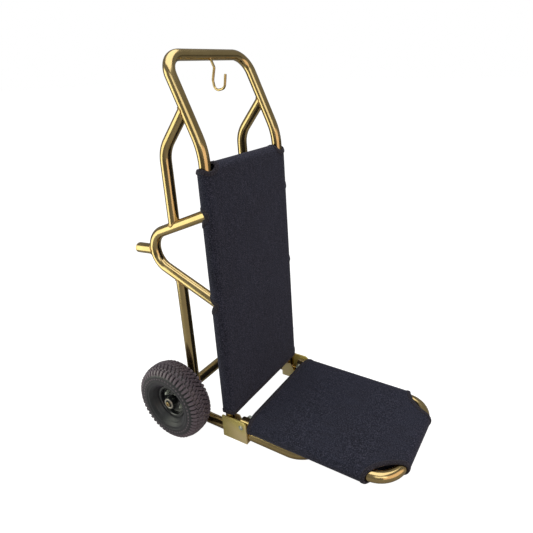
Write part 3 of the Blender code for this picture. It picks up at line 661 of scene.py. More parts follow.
def zinc_steel(name, low, high):
    """Zinc-plated steel with clouded plating and fine turning marks."""
    mat, tree, shader = new_material(name)
    clouds = noise_in(tree, place_in(tree), 190.0, 4.0)
    fine = noise_in(tree, place_in(tree), 1500.0, 2.0)
    tree.links.new(ramp(tree, clouds, [(0.3, low), (0.7, high)]), shader.inputs["Base Color"])
    tree.links.new(ramp(tree, clouds, [(0.3, 0.24), (0.7, 0.42)]), shader.inputs["Roughness"])
    shader.inputs["Metallic"].default_value = 1.0
    bump(tree, shader, fine, 0.12, 0.0003)
    return mat


def dark_rubber(name, grey):
    """A plain, slightly grained black: rubber parts and blackened steel."""
    mat, tree, shader = new_material(name)
    grain = noise_in(tree, place_in(tree), 500.0, 3.0)
    tree.links.new(ramp(tree, grain, [(0.3, 0.6 * grey), (0.7, 1.4 * grey)]), shader.inputs["Base Color"])
    tree.links.new(ramp(tree, grain, [(0.3, 0.42), (0.7, 0.60)]), shader.inputs["Roughness"])
    bump(tree, shader, grain, 0.15, 0.0004)
    return mat


def plywood():
    """Raw poplar plywood: long pale grain and darker pores."""
    mat, tree, shader = new_material("plywood")
    grain = noise_in(tree, place_in(tree, None, (1.0, 1.0, 0.05)), 160.0, 5.0, 0.6)
    wood = ramp(tree, grain, [(0.30, (0.30, 0.19, 0.10)), (0.55, (0.52, 0.37, 0.22)),
                              (0.75, (0.64, 0.48, 0.30))])
    tree.links.new(wood, shader.inputs["Base Color"])
    tree.links.new(ramp(tree, grain, [(0.3, 0.75), (0.7, 0.60)]), shader.inputs["Roughness"])
    bump(tree, shader, grain, 0.25, 0.0005)
    return mat


def seen_directly(tree, low, high):
    """high where the camera looks straight at it and low where it only lights or mirrors in the cart."""
    node = tree.nodes.new("ShaderNodeMapRange")
    node.inputs["To Min"].default_value = low
    node.inputs["To Max"].default_value = high
    tree.links.new(tree.nodes.new("ShaderNodeLightPath").outputs["Is Camera Ray"], node.inputs["Value"])
    return node.outputs["Result"]


def pale_floor():
    """White studio paper, lit from below so that only a soft contact shadow is left."""
    mat, tree, shader = new_material("pale_floor")
    soft = noise_in(tree, place_in(tree), 1.5, 2.0)
    tree.links.new(ramp(tree, soft, [(0.3, 0.36), (0.7, 0.38)]), shader.inputs["Base Color"])
    shader.inputs["Roughness"].default_value = 0.85
    shader.inputs["Specular IOR Level"].default_value = 0.2
    shader.inputs["Emission Color"].default_value = (1.0, 1.0, 1.0, 1.0)
    tree.links.new(seen_directly(tree, 0.0, 0.95), shader.inputs["Emission Strength"])
    return mat


# ---------------------------------------------------------------- tubes and welds

def distance_to_path(point, path):
    """Distance from a point to a centre line."""
    nearest = 1e9
    for a, b in zip(path, path[1:]):
        run = b - a
        share = max(0.0, min(1.0, (point - a).dot(run) / run.length_squared))
        nearest = min(nearest, (a + run * share - point).length)
    return nearest


def weld_mesh(start, direction, radius, main_path, reach, bead=0.0021):
    """A rippled bead where a tube, going from start along direction, runs into another tube."""
    points = 72
    steps = 60
    touching = 0.0004
    direction = direction.normalized()
    side = direction.orthogonal().normalized()
    up = direction.cross(side)
    path = []
    frames = []
    profiles = []
    for i in range(points):
        angle = 2 * math.pi * i / points
        spoke = side * math.cos(angle) + up * math.sin(angle)
        line = [start + spoke * radius + direction * reach * s / steps for s in range(steps + 1)]
        gaps = [distance_to_path(p, main_path) - TUBE_R for p in line]
        inside = [s for s, gap in enumerate(gaps) if gap < touching]
        first = inside[0] if inside else gaps.index(min(gaps))
        if inside and first:
            share = (gaps[first - 1] - touching) / (gaps[first - 1] - gaps[first])
            path.append(line[first - 1].lerp(line[first], share))
        else:
            path.append(line[first])
        frames.append((spoke, direction))
        ripple = 1 + 0.20 * abs(math.sin(math.pi * i * 26 / points)) + 0.10 * math.sin(5 * angle)
        profiles.append([(a, b) for a, b in circle(bead * ripple, 10)])
    bm = bmesh.new()
    sweep(bm, path, frames, profiles, closed=True)
    return to_mesh(bm, IN_CART, 60)


def add_frame_tubes(gold):
    stand_in("handle_hoop", tube_mesh(handle_path(), TUBE_R), gold)
    stand_in("base_loop", tube_mesh(base_path(), TUBE_R), gold)
    cross = [Vector((x * HALF_TRACK, REAR_Y, CROSS_TUBE_Z)) for x in (-1, 0, 1)]
    stand_in("cross_tube", tube_mesh(cross, TUBE_R), gold)
    round_ends(stand_in("garment_hook", tube_mesh(hook_path(), HOOK_R, sides=20), gold), HOOK_R * 0.5)
    for side, word in SIDES:
        stand_in(f"strut_{word}", tube_mesh(strut_path(side), TUBE_R), gold)
        stand_in(f"side_loop_{word}", tube_mesh(side_loop_path(side), TUBE_R), gold)
        add_rest_peg(gold, side, word)


def round_ends(obj, width):
    """A small bevel round the flat ends of a rod."""
    modifier = obj.modifiers.new("round_ends", "BEVEL")
    modifier.width = width
    modifier.segments = 3
    modifier.limit_method = "ANGLE"
    modifier.angle_limit = math.radians(60)


def add_rest_peg(gold, side, word):
    path = peg_path(side)
    stand_in(f"rest_peg_{word}", tube_mesh(path, TUBE_R), gold)
    rim = PEG_CAP_RIM
    plug_r = TUBE_R - 0.001
    cap = softened([(0, -0.001), (plug_r, -0.001), (plug_r, 0.0006), (TUBE_R, 0.0006), (TUBE_R, rim),
                    (TUBE_R * 0.72, rim + 0.0028), (0, rim + 0.004)], 0.0022, 5, closed=False)
    turn = Matrix.Rotation(math.radians(90), 4, "Z") @ Matrix.Rotation(PEG_TILT, 4, "Y")
    place = IN_CART @ Matrix.Translation(path[-1]) @ turn
    stand_in(f"peg_cap_{word}", turned_mesh(cap, place, closed=False), gold)


def add_welds(weld):
    """A bead round each place where one tube runs into another."""
    def bead(name, *args, **kwargs):
        piece(name, weld_mesh(*args, **kwargs), weld, "frame")

    up = Vector((0, 0, 1))
    handle = handle_path()
    base = base_path()
    top = Vector((0, HANDLE_Y - 0.0148, HANDLE_Z - 0.0235))
    bead("weld_hook", top, Vector((0, 0.35, 1)), HOOK_R, handle, 0.02, bead=0.0016)
    for side, word in SIDES:
        x = side * HALF_TRACK
        strut = strut_path(side)
        loop = side_loop_path(side)
        peg = peg_path(side)
        rise = (strut[-1] - strut[-2]).normalized()
        bead(f"weld_strut_top_{word}", strut[-1] - rise * 0.075, rise, TUBE_R, handle, 0.10)
        bead(f"weld_strut_foot_{word}", strut[0] + up * 0.06, -up, TUBE_R, loop, 0.07)
        bead(f"weld_upright_{word}", Vector((x, REAR_Y, base[0].z - 0.06)), up, TUBE_R, loop, 0.07)
        bead(f"weld_leg_{word}", Vector((x, 0, base_height(0) + 0.05)), -up, TUBE_R, base, 0.06)
        bead(f"weld_peg_{word}", peg[-1], peg[0] - peg[-1], TUBE_R, loop, 0.08)
        near_cross_end = Vector((x - side * 0.05, REAR_Y, CROSS_TUBE_Z))
        bead(f"weld_cross_{word}", near_cross_end, Vector((side, 0, 0)), TUBE_R, base, 0.06)


def add_axle_welds(weld):
    """A bead round each place where the axle is let into the back of an upright."""
    set_back = AXLE_Y - REAR_Y
    widest = math.acos((set_back - TUBE_R) / AXLE_R)
    count = 64
    for side, word in SIDES:
        path = []
        for i in range(count):
            turn = 2 * math.pi * i / count
            round_axle = widest * math.cos(turn)
            depth = set_back - AXLE_R * math.cos(round_axle)
            across = math.copysign(math.sqrt(max(0.0, TUBE_R ** 2 - depth ** 2)), math.sin(turn))
            height = WHEEL_R + AXLE_R * math.sin(round_axle)
            path.append(Vector((side * HALF_TRACK + across, REAR_Y + depth, height)))
        frames = []
        for i, point in enumerate(path):
            out = (point - Vector((side * HALF_TRACK, REAR_Y, point.z))).normalized()
            frames.append((out, (path[(i + 1) % count] - path[i - 1]).normalized().cross(out).normalized()))
        sizes = [0.0019 * (1 + 0.2 * (i % 2)) for i in range(count)]
        bm = bmesh.new()
        sweep(bm, path, frames, [circle(size, 10) for size in sizes], closed=True)
        piece(f"weld_axle_{word}", to_mesh(bm, IN_CART, 60), weld, "frame")


# ---------------------------------------------------------------- hinge

def add_hinge(plate, zinc, weld, side, word):
    """The folded bracket, its pivot bolt and the short welds to the rail."""
    def place(u, v, w):
        return (side * w, u, v)

    corner = (BRACKET_FRONT_Y + BRACKET_CORNER_R, BRACKET_TOP_Z - BRACKET_CORNER_R)
    cheek = [(BRACKET_FRONT_Y, 0), (BRACKET_REAR_Y, 0), (BRACKET_REAR_Y, BRACKET_TOP_Z)]
    cheek += arc(corner, BRACKET_CORNER_R, 90, 180, 12)
    lip = [(BRACKET_FRONT_Y, 0), (BRACKET_REAR_Y, 0), (BRACKET_REAR_Y, LIP_REAR_Z), (-TUBE_R, LIP_REAR_Z),
           (2 * PIVOT_Y / 3, LIP_FRONT_Z), (BRACKET_FRONT_Y, LIP_FRONT_Z)]
    floor = [(BRACKET_FRONT_Y, 0), (BRACKET_REAR_Y, 0), (BRACKET_REAR_Y, BRACKET_FLOOR_T),
             (BRACKET_FRONT_Y, BRACKET_FLOOR_T)]
    cheek_out = CHEEK_IN + CHEEK_T
    bm = bmesh.new()
    prism_bmesh(bm, cheek, CHEEK_IN, cheek_out, place, 0.0007)
    prism_bmesh(bm, lip, LIP_OUT - LIP_T, LIP_OUT, place, 0.0007)
    prism_bmesh(bm, floor, LIP_OUT - LIP_T + 0.0002, cheek_out - 0.0002, place, 0.0004)
    stand_in(f"hinge_bracket_{word}", to_mesh(bm, IN_CART), plate)
    bolt_in = DECK_HALF_TRACK - TUBE_R - 0.0133
    head = [(HINGE_BOLT_R, 0.0003), (0.0085, 0.0003), (0.0085, 0.0015), (0.0067, 0.0018), (0.0064, 0.0005),
            (0.0055, 0.0005), (0.0052, 0.0038), (0.0032, 0.0050), (0, 0.0052)]
    bolt = softened([(0, bolt_in), (HINGE_BOLT_R, bolt_in)] + [(r, cheek_out + proud) for r, proud in head],
                    0.0006, 4, closed=False)
    turn = IN_CART @ Matrix.Translation((0, PIVOT_Y, PIVOT_Z)) @ facing(side)
    stand_in(f"hinge_bolt_{word}", turned_mesh(bolt, turn, closed=False), zinc)
    for end in (BRACKET_FRONT_Y + 0.004, BRACKET_REAR_Y - 0.004):
        add_plate_weld(weld, side, word, end)


def add_plate_weld(weld, side, word, end):
    """A short rippled bead between the base rail and the bracket's floor, at one end of the bracket."""
    bm = bmesh.new()
    count = 19
    reach = 0.012
    path = [Vector((side * (HALF_TRACK - TUBE_R + 0.002), end + reach * (i / (count - 1) - 0.5), 0.0085))
            for i in range(count)]
    profiles = [circle(0.0026 * (1 + 0.18 * (i % 2)), 8) for i in range(count)]
    rings = sweep(bm, path, frames_along(path), profiles)
    bm.faces.new(rings[0])
    bm.faces.new(rings[-1])
    name = f"weld_bracket_{word}_{'front' if end < 0 else 'rear'}"
    piece(name, to_mesh(bm, IN_CART, 60), weld, "frame")


# ---------------------------------------------------------------- carpet covers

def back_place(u, v, w):
    return Vector((u, w, v))


def deck_underside(u, v, w):
    """The platform cover's plane; w counts downwards from it, so that its slack face is below."""
    return Vector((u, -v, -w))


def both_halves(half):
    """A closed outline, symmetric about u = 0, from the points of its +u half."""
    return half + [(-u, v) for u, v in reversed(half)]


def back_outline():
    """Chamfered below beside the legs, scooped above where the legs come out."""
    scoop_z = BACK_COVER_TOP + 0.009
    reach = math.degrees(math.asin((scoop_z - BACK_COVER_TOP) / BACK_SCOOP_R))
    low = [(0.186, BACK_COVER_LOW), (0.203, 0.098), (0.212, 0.115)]
    scoop = arc((HALF_TRACK, scoop_z), BACK_SCOOP_R, 0, -180 + reach, 20)
    return both_halves(low + [(0.225, scoop_z)] + scoop + [(0.120, BACK_COVER_TOP + 0.01)])


def deck_outline():
    """Cut back behind for the hinge, scooped in front where the bent tube shows."""
    front = [(u, 0.580 + 1.14 * v) for u, v in arc((0.235, 0), 0.1295, 255, 193, 16)]
    rear = [(0.158, DECK_COVER_REAR), (0.215, 0.031)]
    return both_halves(rear + [(0.215, front[0][1])] + front + [(front[-1][0], 0.60)])


def cover_section(radius):
    """Points (u, w) round a sleeve that is stretched over two tubes, with sides of this radius."""
    across = round(2 * HALF_TRACK / CLOTH_STEP)
    flat = [HALF_TRACK * (1 - 2 * i / across) for i in range(across + 1)]
    turn = [(-HALF_TRACK + COVER_EASE * u, w) for u, w in arc((0, 0), radius, 90, 270, 12)[1:-1]]
    back = [(HALF_TRACK + COVER_EASE * u, w) for u, w in arc((0, 0), radius, -90, 90, 12)[1:-1]]
    return [(u, radius) for u in flat] + turn + [(-u, -radius) for u in flat] + back


def sleeve_mesh(start, end, place):
    """A closed, finely divided slab: square where the panel starts, round where it ends."""
    bm = bmesh.new()
    radius = COVER_HALF
    rows = round((end - radius - start) / CLOTH_STEP)
    levels = [(start + (end - radius - start) * i / rows, radius) for i in range(rows)]
    levels += [(end - radius + radius * math.sin(a), radius * math.cos(a))
               for a in np.linspace(0, 0.5 * math.pi, 9)[:-1]]
    levels.append((end, 0.0006))
    rings = [[bm.verts.new(place(u, v, w)) for u, w in cover_section(size)] for v, size in levels]
    for low, high in zip(rings, rings[1:]):
        bridge(bm, low, high)
    bm.faces.new(rings[0]).material_index = 1
    bm.faces.new(rings[-1])
    bmesh.ops.recalc_face_normals(bm, faces=bm.faces)
    mesh = bpy.data.meshes.new("sleeve")
    bm.to_mesh(mesh)
    bm.free()
    return mesh


def cutter_object(name, bm):
    """A tool whose faces are marked, so that the walls it leaves can be taken out again."""
    bmesh.ops.recalc_face_normals(bm, faces=bm.faces)
    for face in bm.faces:
        face.material_index = 1
    mesh = bpy.data.meshes.new(name)
    bm.to_mesh(mesh)
    bm.free()
    obj = bpy.data.objects.new(name, mesh)
    bpy.context.scene.collection.objects.link(obj)
    return obj


def cut_sheet(mesh, outline_tool, hole_tools):
    """The slab's skin inside the outline and outside the holes, open along every cut."""
    obj = bpy.data.objects.new("cutting", mesh)
    bpy.context.scene.collection.objects.link(obj)
    for slot in ("skin", "cut"):
        mesh.materials.append(bpy.data.materials.new(slot))
    for tool, operation in [(outline_tool, "INTERSECT")] + [(hole, "DIFFERENCE") for hole in hole_tools]:
        modifier = obj.modifiers.new(operation, "BOOLEAN")
        modifier.object = tool
        modifier.operation = operation
        modifier.solver = "EXACT"
        modifier.material_mode = "INDEX"
    result = evaluated_mesh(obj)
    bm = bmesh.new()
    bm.from_mesh(result)
    bmesh.ops.delete(bm, geom=[f for f in bm.faces if f.material_index == 1], context="FACES")
    bmesh.ops.remove_doubles(bm, verts=bm.verts, dist=0.0006)
    bmesh.ops.delete(bm, geom=[v for v in bm.verts if not v.link_faces], context="VERTS")
    for tool in [obj, outline_tool] + hole_tools:
        bpy.data.objects.remove(tool, do_unlink=True)
    return bm


def settle_cloth(bm, place, sag, seed):
    """Slackens the unsupported face, and lets the rest ripple a little, as stretched carpet does."""
    origin = place(0, 0, 0)
    axis_u = place(1, 0, 0) - origin
    axis_v = place(0, 1, 0) - origin
    axis_w = place(0, 0, 1) - origin
    for vert in bm.verts:
        local = vert.co - origin
        u = local.dot(axis_u)
        v = local.dot(axis_v)
        w = local.dot(axis_w)
        free = max(0.0, 1 - (u / (HALF_TRACK - 0.01)) ** 2)
        slack = sag * free ** 0.7 if w > 0 else 0.0
        wave = noise.noise(Vector((u * 9 + seed, v * 7, 0.3)))
        wave += 0.5 * noise.noise(Vector((u * 31, v * 27 + seed, 1.7)))
        ripple = 0.0006 * wave * (0.35 + 0.65 * free)
        vert.co += axis_w * (ripple - slack * min(1.0, w / COVER_HALF) if w > 0 else ripple)


def boundary_loops(bm):
    """Each open edge of a sheet as (points, normals, directions into the cloth), in order."""
    bm.normal_update()
    open_edges = {edge for edge in bm.edges if edge.is_boundary}
    loops = []
    while open_edges:
        edge = min(open_edges, key=lambda e: tuple(round(c, 6) for c in e.verts[0].co) + tuple(e.verts[1].co))
        open_edges.discard(edge)
        verts = [edge.verts[0], edge.verts[1]]
        while True:
            onward = [e for e in verts[-1].link_edges if e in open_edges]
            if not onward:
                break
            open_edges.discard(onward[0])
            verts.append(onward[0].other_vert(verts[-1]))
        if verts[0] == verts[-1]:
            verts.pop()
        inward = []
        for vert in verts:
            centres = [face.calc_center_median() for face in vert.link_faces]
            inward.append(sum(centres, Vector()) / len(centres) - vert.co)
        loops.append(([v.co.copy() for v in verts], [v.normal.copy() for v in verts], inward))
    return loops


def even_loop(points, normals, inward, step):
    """The same closed loop with evenly spaced, smoothed points."""
    closed = points + points[:1]
    lengths = [(b - a).length for a, b in zip(closed, closed[1:])]
    total = sum(lengths)
    count = max(24, round(total / step))
    marks = np.cumsum([0.0] + lengths)
    rows = np.array([[*p, *n, *i.normalized()] for p, n, i in zip(points, normals, inward)])
    rows = np.vstack([rows, rows[:1]])
    even = np.array([np.interp(np.arange(count) * total / count, marks, column) for column in rows.T]).T
    for _ in range(3):
        even = 0.5 * even + 0.25 * (np.roll(even, 1, 0) + np.roll(even, -1, 0))
    return [Vector(r[:3]) for r in even], [Vector(r[3:6]) for r in even], [Vector(r[6:]) for r in even], total


def hem_frames(points, normals, inward):
    """(into the cloth, outwards) at each point, square to the edge."""
    frames = []
    count = len(points)
    for i, (normal, into) in enumerate(zip(normals, inward)):
        tangent = (points[(i + 1) % count] - points[i - 1]).normalized()
        out = (normal - tangent * normal.dot(tangent)).normalized()
        across = out.cross(tangent).normalized()
        frames.append((across if across.dot(into) > 0 else -across, out))
    return frames


def stitch_bmesh(bm, middle, along, out):
    """One thread stitch: a short capsule pressed into the cloth."""
    side = along.cross(out)
    rings = []
    for share, size in ((-0.5, 0.35), (-0.38, 0.9), (0.0, 1.0), (0.38, 0.9), (0.5, 0.35)):
        centre = middle + along * STITCH_LENGTH * share + out * STITCH_R * (0.3 - 2.2 * share * share)
        rings.append([bm.verts.new(centre + (side * a + out * b) * size) for a, b in circle(STITCH_R, 8)])
    for low, high in zip(rings, rings[1:]):
        bridge(bm, low, high)
    bm.faces.new(rings[0])
    bm.faces.new(rings[-1])


def add_hems(name, loops, cloth, cord, body, matrix):
    """Rolled hems with a row of stitches round the openings; small slits stay raw."""
    hems = bmesh.new()
    stitches = bmesh.new()
    profile = softened([(-0.0022, -HEM_IN), (HEM_WIDTH, -HEM_IN), (HEM_WIDTH, -0.0012),
                        (HEM_WIDTH - 0.001, HEM_OUT), (0.004, HEM_OUT + 0.0006), (-0.0022, HEM_OUT - 0.0004)],
                       0.0019, 3)
    for points, normals, inward in loops:
        points, normals, inward, total = even_loop(points, normals, inward, 0.004)
        if total < HEM_MIN_LOOP:
            continue
        frames = hem_frames(points, normals, inward)
        lumps = [1 + 0.05 * noise.noise(p * 60) for p in points]
        sweep(hems, points, frames, [[(a, b * lump) for a, b in profile] for lump in lumps], closed=True)
        count = len(points)
        every = total / count
        for number in range(int(total / STITCH_STEP)):
            where = number * STITCH_STEP / every
            i = int(where) % count
            j = (i + 1) % count
            share = where - int(where)
            middle = points[i].lerp(points[j], share)
            across, out = (a.lerp(b, share) for a, b in zip(frames[i], frames[j]))
            along = (points[j] - points[i]).normalized()
            seat = middle + across * (HEM_WIDTH - 0.0028) + out * (HEM_OUT + 0.0001)
            stitch_bmesh(stitches, seat, along, out)
    hem = piece(f"{name}_hem", to_mesh(hems, matrix, 60), cloth, body)
    row = piece(f"{name}_stitching", to_mesh(stitches, matrix, 60), cord, body)
    return [hem, row]


def add_cover(name, node, body, matrix, place, span, outline, holes, seed, finishes):
    """A carpet sleeve cut to its outline, with hems and stitches; it stands for one CAD node."""
    start, end = span
    cloth, hem_cloth, cord = finishes
    tool = bmesh.new()
    prism_bmesh(tool, outline, -0.05, 0.05, place)
    bm = cut_sheet(sleeve_mesh(start, end, place), cutter_object("outline", tool), holes)
    settle_cloth(bm, place, CLOTH_SAG, seed)
    loops = boundary_loops(bm)
    mesh = to_mesh(bm, matrix, 70)
    mesh.materials.clear()
    cover = piece(name, mesh, cloth, body, [node])
    shell = cover.modifiers.new("cloth_thickness", "SOLIDIFY")
    shell.thickness = CLOTH_T
    shell.offset = -1
    trims = add_hems(name, loops, hem_cloth, cord, body, matrix)


def loop_slits():
    """Tools for the slits in the back cover: where each side loop goes in, a little longer below the tube."""
    tools = []
    for side in (1, -1):
        for upper in (True, False):
            for out, drop, radius in ((0, 0, TUBE_R + 0.0012), (0.013, 0, TUBE_R), (0.013, -0.013, 0.0115)):
                x = side * (HALF_TRACK + out)
                path = [Vector((x, y, loop_height(y, upper) + drop)) for y in (-0.002, 0.03, 0.06)]
                bm = bmesh.new()
                rings = sweep(bm, path, frames_along(path), [circle(radius, 30)] * len(path))
                bm.faces.new(rings[0])
                bm.faces.new(rings[-1])
                tools.append(cutter_object("slit", bm))
    return tools


# ---------------------------------------------------------------- wheels

def tread_radius(out):
    """The outer radius of the tyre's tread at a distance from its middle plane."""
    share = min(1.0, abs(out) / TYRE_HALF_WIDTH)
    return TYRE_WIDEST_R + TYRE_RISE * (1 - share ** TYRE_SQUARENESS) ** (1 / TYRE_SQUARENESS)


def wall_out(radius):
    """How far the tyre's side stands out from its middle plane, at a radius beyond its widest ring."""
    share = (radius - TYRE_WIDEST_R) / TYRE_RISE
    return TYRE_HALF_WIDTH * (1 - share ** TYRE_SQUARENESS) ** (1 / TYRE_SQUARENESS)


def carcass_profile():
    """The tyre without its lugs: sunk between them, ringed on the sidewall, beaded inside the rim."""
    half = []
    for degrees in range(0, 88, 4):
        angle = math.radians(degrees)
        out = TYRE_HALF_WIDTH * math.sin(angle) ** (2 / TYRE_SQUARENESS)
        radius = TYRE_WIDEST_R + TYRE_RISE * math.cos(angle) ** (2 / TYRE_SQUARENESS)
        depth = TREAD_DEPTH * max(0.0, min(1.0, (TYRE_HALF_WIDTH - 0.0013 - out) / 0.004))
        half.append((radius - depth, out - depth * 0.2 * out / TYRE_HALF_WIDTH))
    wall = spline([(TYRE_WIDEST_R, TYRE_HALF_WIDTH), (0.083, 0.0403), (0.0745, 0.0370), (0.0665, 0.0285),
                   (0.0608, 0.0212), (0.0589, 0.0168)], 8)
    rings = ((0.0885, 0.0010, 0.0014), (0.0790, 0.0008, 0.0010), (0.0695, 0.0010, 0.0012))
    for point in wall:
        radius, out = point
        out += sum(height * math.exp(-((radius - ring) / spread) ** 2) for ring, height, spread in rings)
        half.append((radius, out))
    half += [(0.0565, 0.0156), (0.0540, 0.0154), (0.0516, 0.0150)]
    return [(r, -w) for r, w in reversed(half)] + half[1:] + [(0.0516, 0.0098), (0.0516, -0.0098)]


def lug_bmesh(bm, angle, length, middle, width, skew):
    """A tread block with drafted walls and a rounded top; it follows the tyre's crown."""
    around = ((-1, -1), (0, -1), (1, -1), (1, 0), (1, 1), (0, 1), (-1, 1), (-1, 0))

    def point(a, b, grow, sink):
        out = middle + b * (width / 2 + grow)
        radius = tread_radius(out) - sink
        turn = angle + (a * (length / 2 + grow) + skew * b) / WHEEL_R
        return bm.verts.new((out, radius * math.sin(turn), radius * math.cos(turn)))

    rings = [[point(a, b, grow, sink) for a, b in around]
             for grow, sink in ((0.0009, TREAD_DEPTH + 0.0006), (0.0001, 0.0007), (-0.0007, 0.0))]
    for low, high in zip(rings, rings[1:]):
        bridge(bm, low, high)
    centre = point(0, 0, 0.0, -0.0001)
    for i in range(8):
        bm.faces.new((rings[-1][i], rings[-1][(i + 1) % 8], centre))
    bm.faces.new(rings[0])


def tyre_mesh(matrix):
    """Carcass, three rows of lugs on each side of the middle, and the shoulder ribs below them."""
    bm = bmesh.new()
    turned_bmesh(bm, carcass_profile(), WHEEL_SIDES)
    pitch = 2 * math.pi / LUGS
    for number in range(LUGS):
        angle = number * pitch
        for way in (1, -1):
            stagger = 0.25 * pitch * way
            lug_bmesh(bm, angle + stagger, 0.0102, way * 0.0058, 0.0092, way * 0.0026)
            lug_bmesh(bm, angle + stagger + 0.5 * pitch, 0.0096, way * 0.0177, 0.0094, way * 0.0020)
            turn = angle + stagger + 0.25 * pitch
            lug_bmesh(bm, turn, 0.0086, way * 0.0306, 0.0112, 0.0)
            side_rib_bmesh(bm, turn, way)
            sidewall_mark_bmesh(bm, turn + 0.5 * pitch, way)
    return to_mesh(bm, matrix, 32)


def side_rib_bmesh(bm, angle, way):
    """The tail of a shoulder lug: a low rib that runs down the sidewall."""
    def on_wheel(out, radius, turn):
        return bm.verts.new((way * out, radius * math.sin(turn), radius * math.cos(turn)))

    sections = []
    for radius, width, rise in ((0.1235, 0.0041, 0.0024), (0.1160, 0.0036, 0.0020), (0.1085, 0.0026, 0.0004)):
        out = wall_out(radius)
        spread = width / radius
        low = [on_wheel(out - 0.002, radius, angle + s * spread * 1.25) for s in (-1, 1)]
        top = [on_wheel(out + rise * 0.7, radius + rise * 0.5, angle + s * spread) for s in (1, -1)]
        sections.append(low + top)
    for low, high in zip(sections, sections[1:]):
        bridge(bm, low, high)
    bm.faces.new(sections[0])
    bm.faces.new(sections[-1])


def sidewall_mark_bmesh(bm, angle, way):
    """A short raised bar in the band between the sidewall's two rings."""
    sections = []
    for radius, half in ((0.0960, 0.0022), (0.1005, 0.0022)):
        base = wall_out(radius) - 0.0006
        spread = half / radius
        corners = [(base, angle - 1.4 * spread), (base, angle + 1.4 * spread),
                   (base + 0.0015, angle + spread), (base + 0.0015, angle - spread)]
        sections.append([bm.verts.new((way * out, radius * math.sin(a), radius * math.cos(a)))
                         for out, a in corners])
    bridge(bm, sections[0], sections[1])
    bm.faces.new(sections[0])
    bm.faces.new(sections[1])


def rim_profile(way):
    """Half a pressed rim: hub cup, flat disc, wall and rolled lip, with pressed radii."""
    cup_end = BEARING_OUT - 0.0012
    cup_r = BEARING_R + 0.0003
    seat = BEARING_IN - 0.0003
    half = [(0.0141, 0.0003), (0.0141, seat), (cup_r, seat), (cup_r, cup_end), (cup_r + RIM_T, cup_end),
            (cup_r + RIM_T, seat - RIM_T), (0.0165, seat - RIM_T), (0.0165, RIM_T), (0.0475, RIM_T),
            (0.0480, 0.0152), (0.0500, 0.0183), (0.0570, 0.0186), (0.0576, 0.0163), (0.0505, 0.0157),
            (0.0505, 0.0003)]
    return [(radius, way * out) for radius, out in softened(half, 0.0014, 4)]


def bearing_profile(way):
    """Inner ring, dished rubber seal, and outer ring."""
    end = BEARING_OUT
    half = [(0.0084, BEARING_IN), (0.0084, end), (0.0100, end), (0.0102, end - 0.0012),
            (0.0115, end - 0.0016), (0.0130, end - 0.0012), (0.0133, end), (BEARING_R, end),
            (BEARING_R, BEARING_IN)]
    return [(radius, way * out) for radius, out in softened(half, 0.0005, 3)]


def seal_profile(way):
    """The rubber ring pressed into the bearing's face."""
    half = [(0.0101, BEARING_OUT - 0.0015), (0.0104, BEARING_OUT - 0.0007), (0.0116, BEARING_OUT - 0.0011),
            (0.0129, BEARING_OUT - 0.0007), (0.0132, BEARING_OUT - 0.0015)]
    return [(radius, way * out) for radius, out in softened(half, 0.0004, 2)]


def ring_profile(bore, radius, start, end, reach, steps):
    """A washer or spacer with softened edges."""
    return softened([(bore, start), (radius, start), (radius, end), (bore, end)], reach, steps)


def thread_profile(radius, start, end):
    """Screw threads as rings, with a chamfered end."""
    pitch = 0.0007
    points = [(0, start), (radius * 0.9, start)]
    turns = int((end - start - 0.001) / pitch)
    for i in range(turns):
        points += [(radius, start + (i + 0.5) * pitch), (radius * 0.88, start + (i + 1) * pitch)]
    return points + [(radius * 0.7, end), (0, end)]


def rim_bolt_bmesh(bm, number):
    """A bolt through both rim halves: head and washer inside, washer, nut and threaded end outside."""
    face = RIM_T + 0.0003
    angle = math.radians(RIM_BOLT_PHASE + 360 * number / RIM_BOLTS)
    before = set(bm.verts)
    washer = ring_profile(0.0042, 0.0075, face, face + 0.0010, 0.0003, 2)
    for way in (1, -1):
        turned_bmesh(bm, [(r, way * w) for r, w in washer], 28)
    low = face + 0.0011
    nut = [(0.0041, low), (0.0058, low), (0.0066, low + 0.0007), (0.0066, low + 0.0047),
           (0.0058, low + 0.0054), (0.0041, low + 0.0054)]
    turned_bmesh(bm, nut, 6, phase=0.2 * number)
    turned_bmesh(bm, thread_profile(0.0040, 0.0, face + 0.0108), 20, closed=False)
    head = [(0, -low), (0.0066, -low), (0.0075, -low - 0.0005), (0.0075, -low - 0.0036),
            (0.0064, -low - 0.0044), (0, -low - 0.0044)]
    turned_bmesh(bm, head, 6, closed=False, phase=0.35 + 0.1 * number)
    shift = Vector((0, RIM_BOLT_CIRCLE * math.cos(angle), RIM_BOLT_CIRCLE * math.sin(angle)))
    bmesh.ops.translate(bm, verts=[v for v in bm.verts if v not in before], vec=shift)


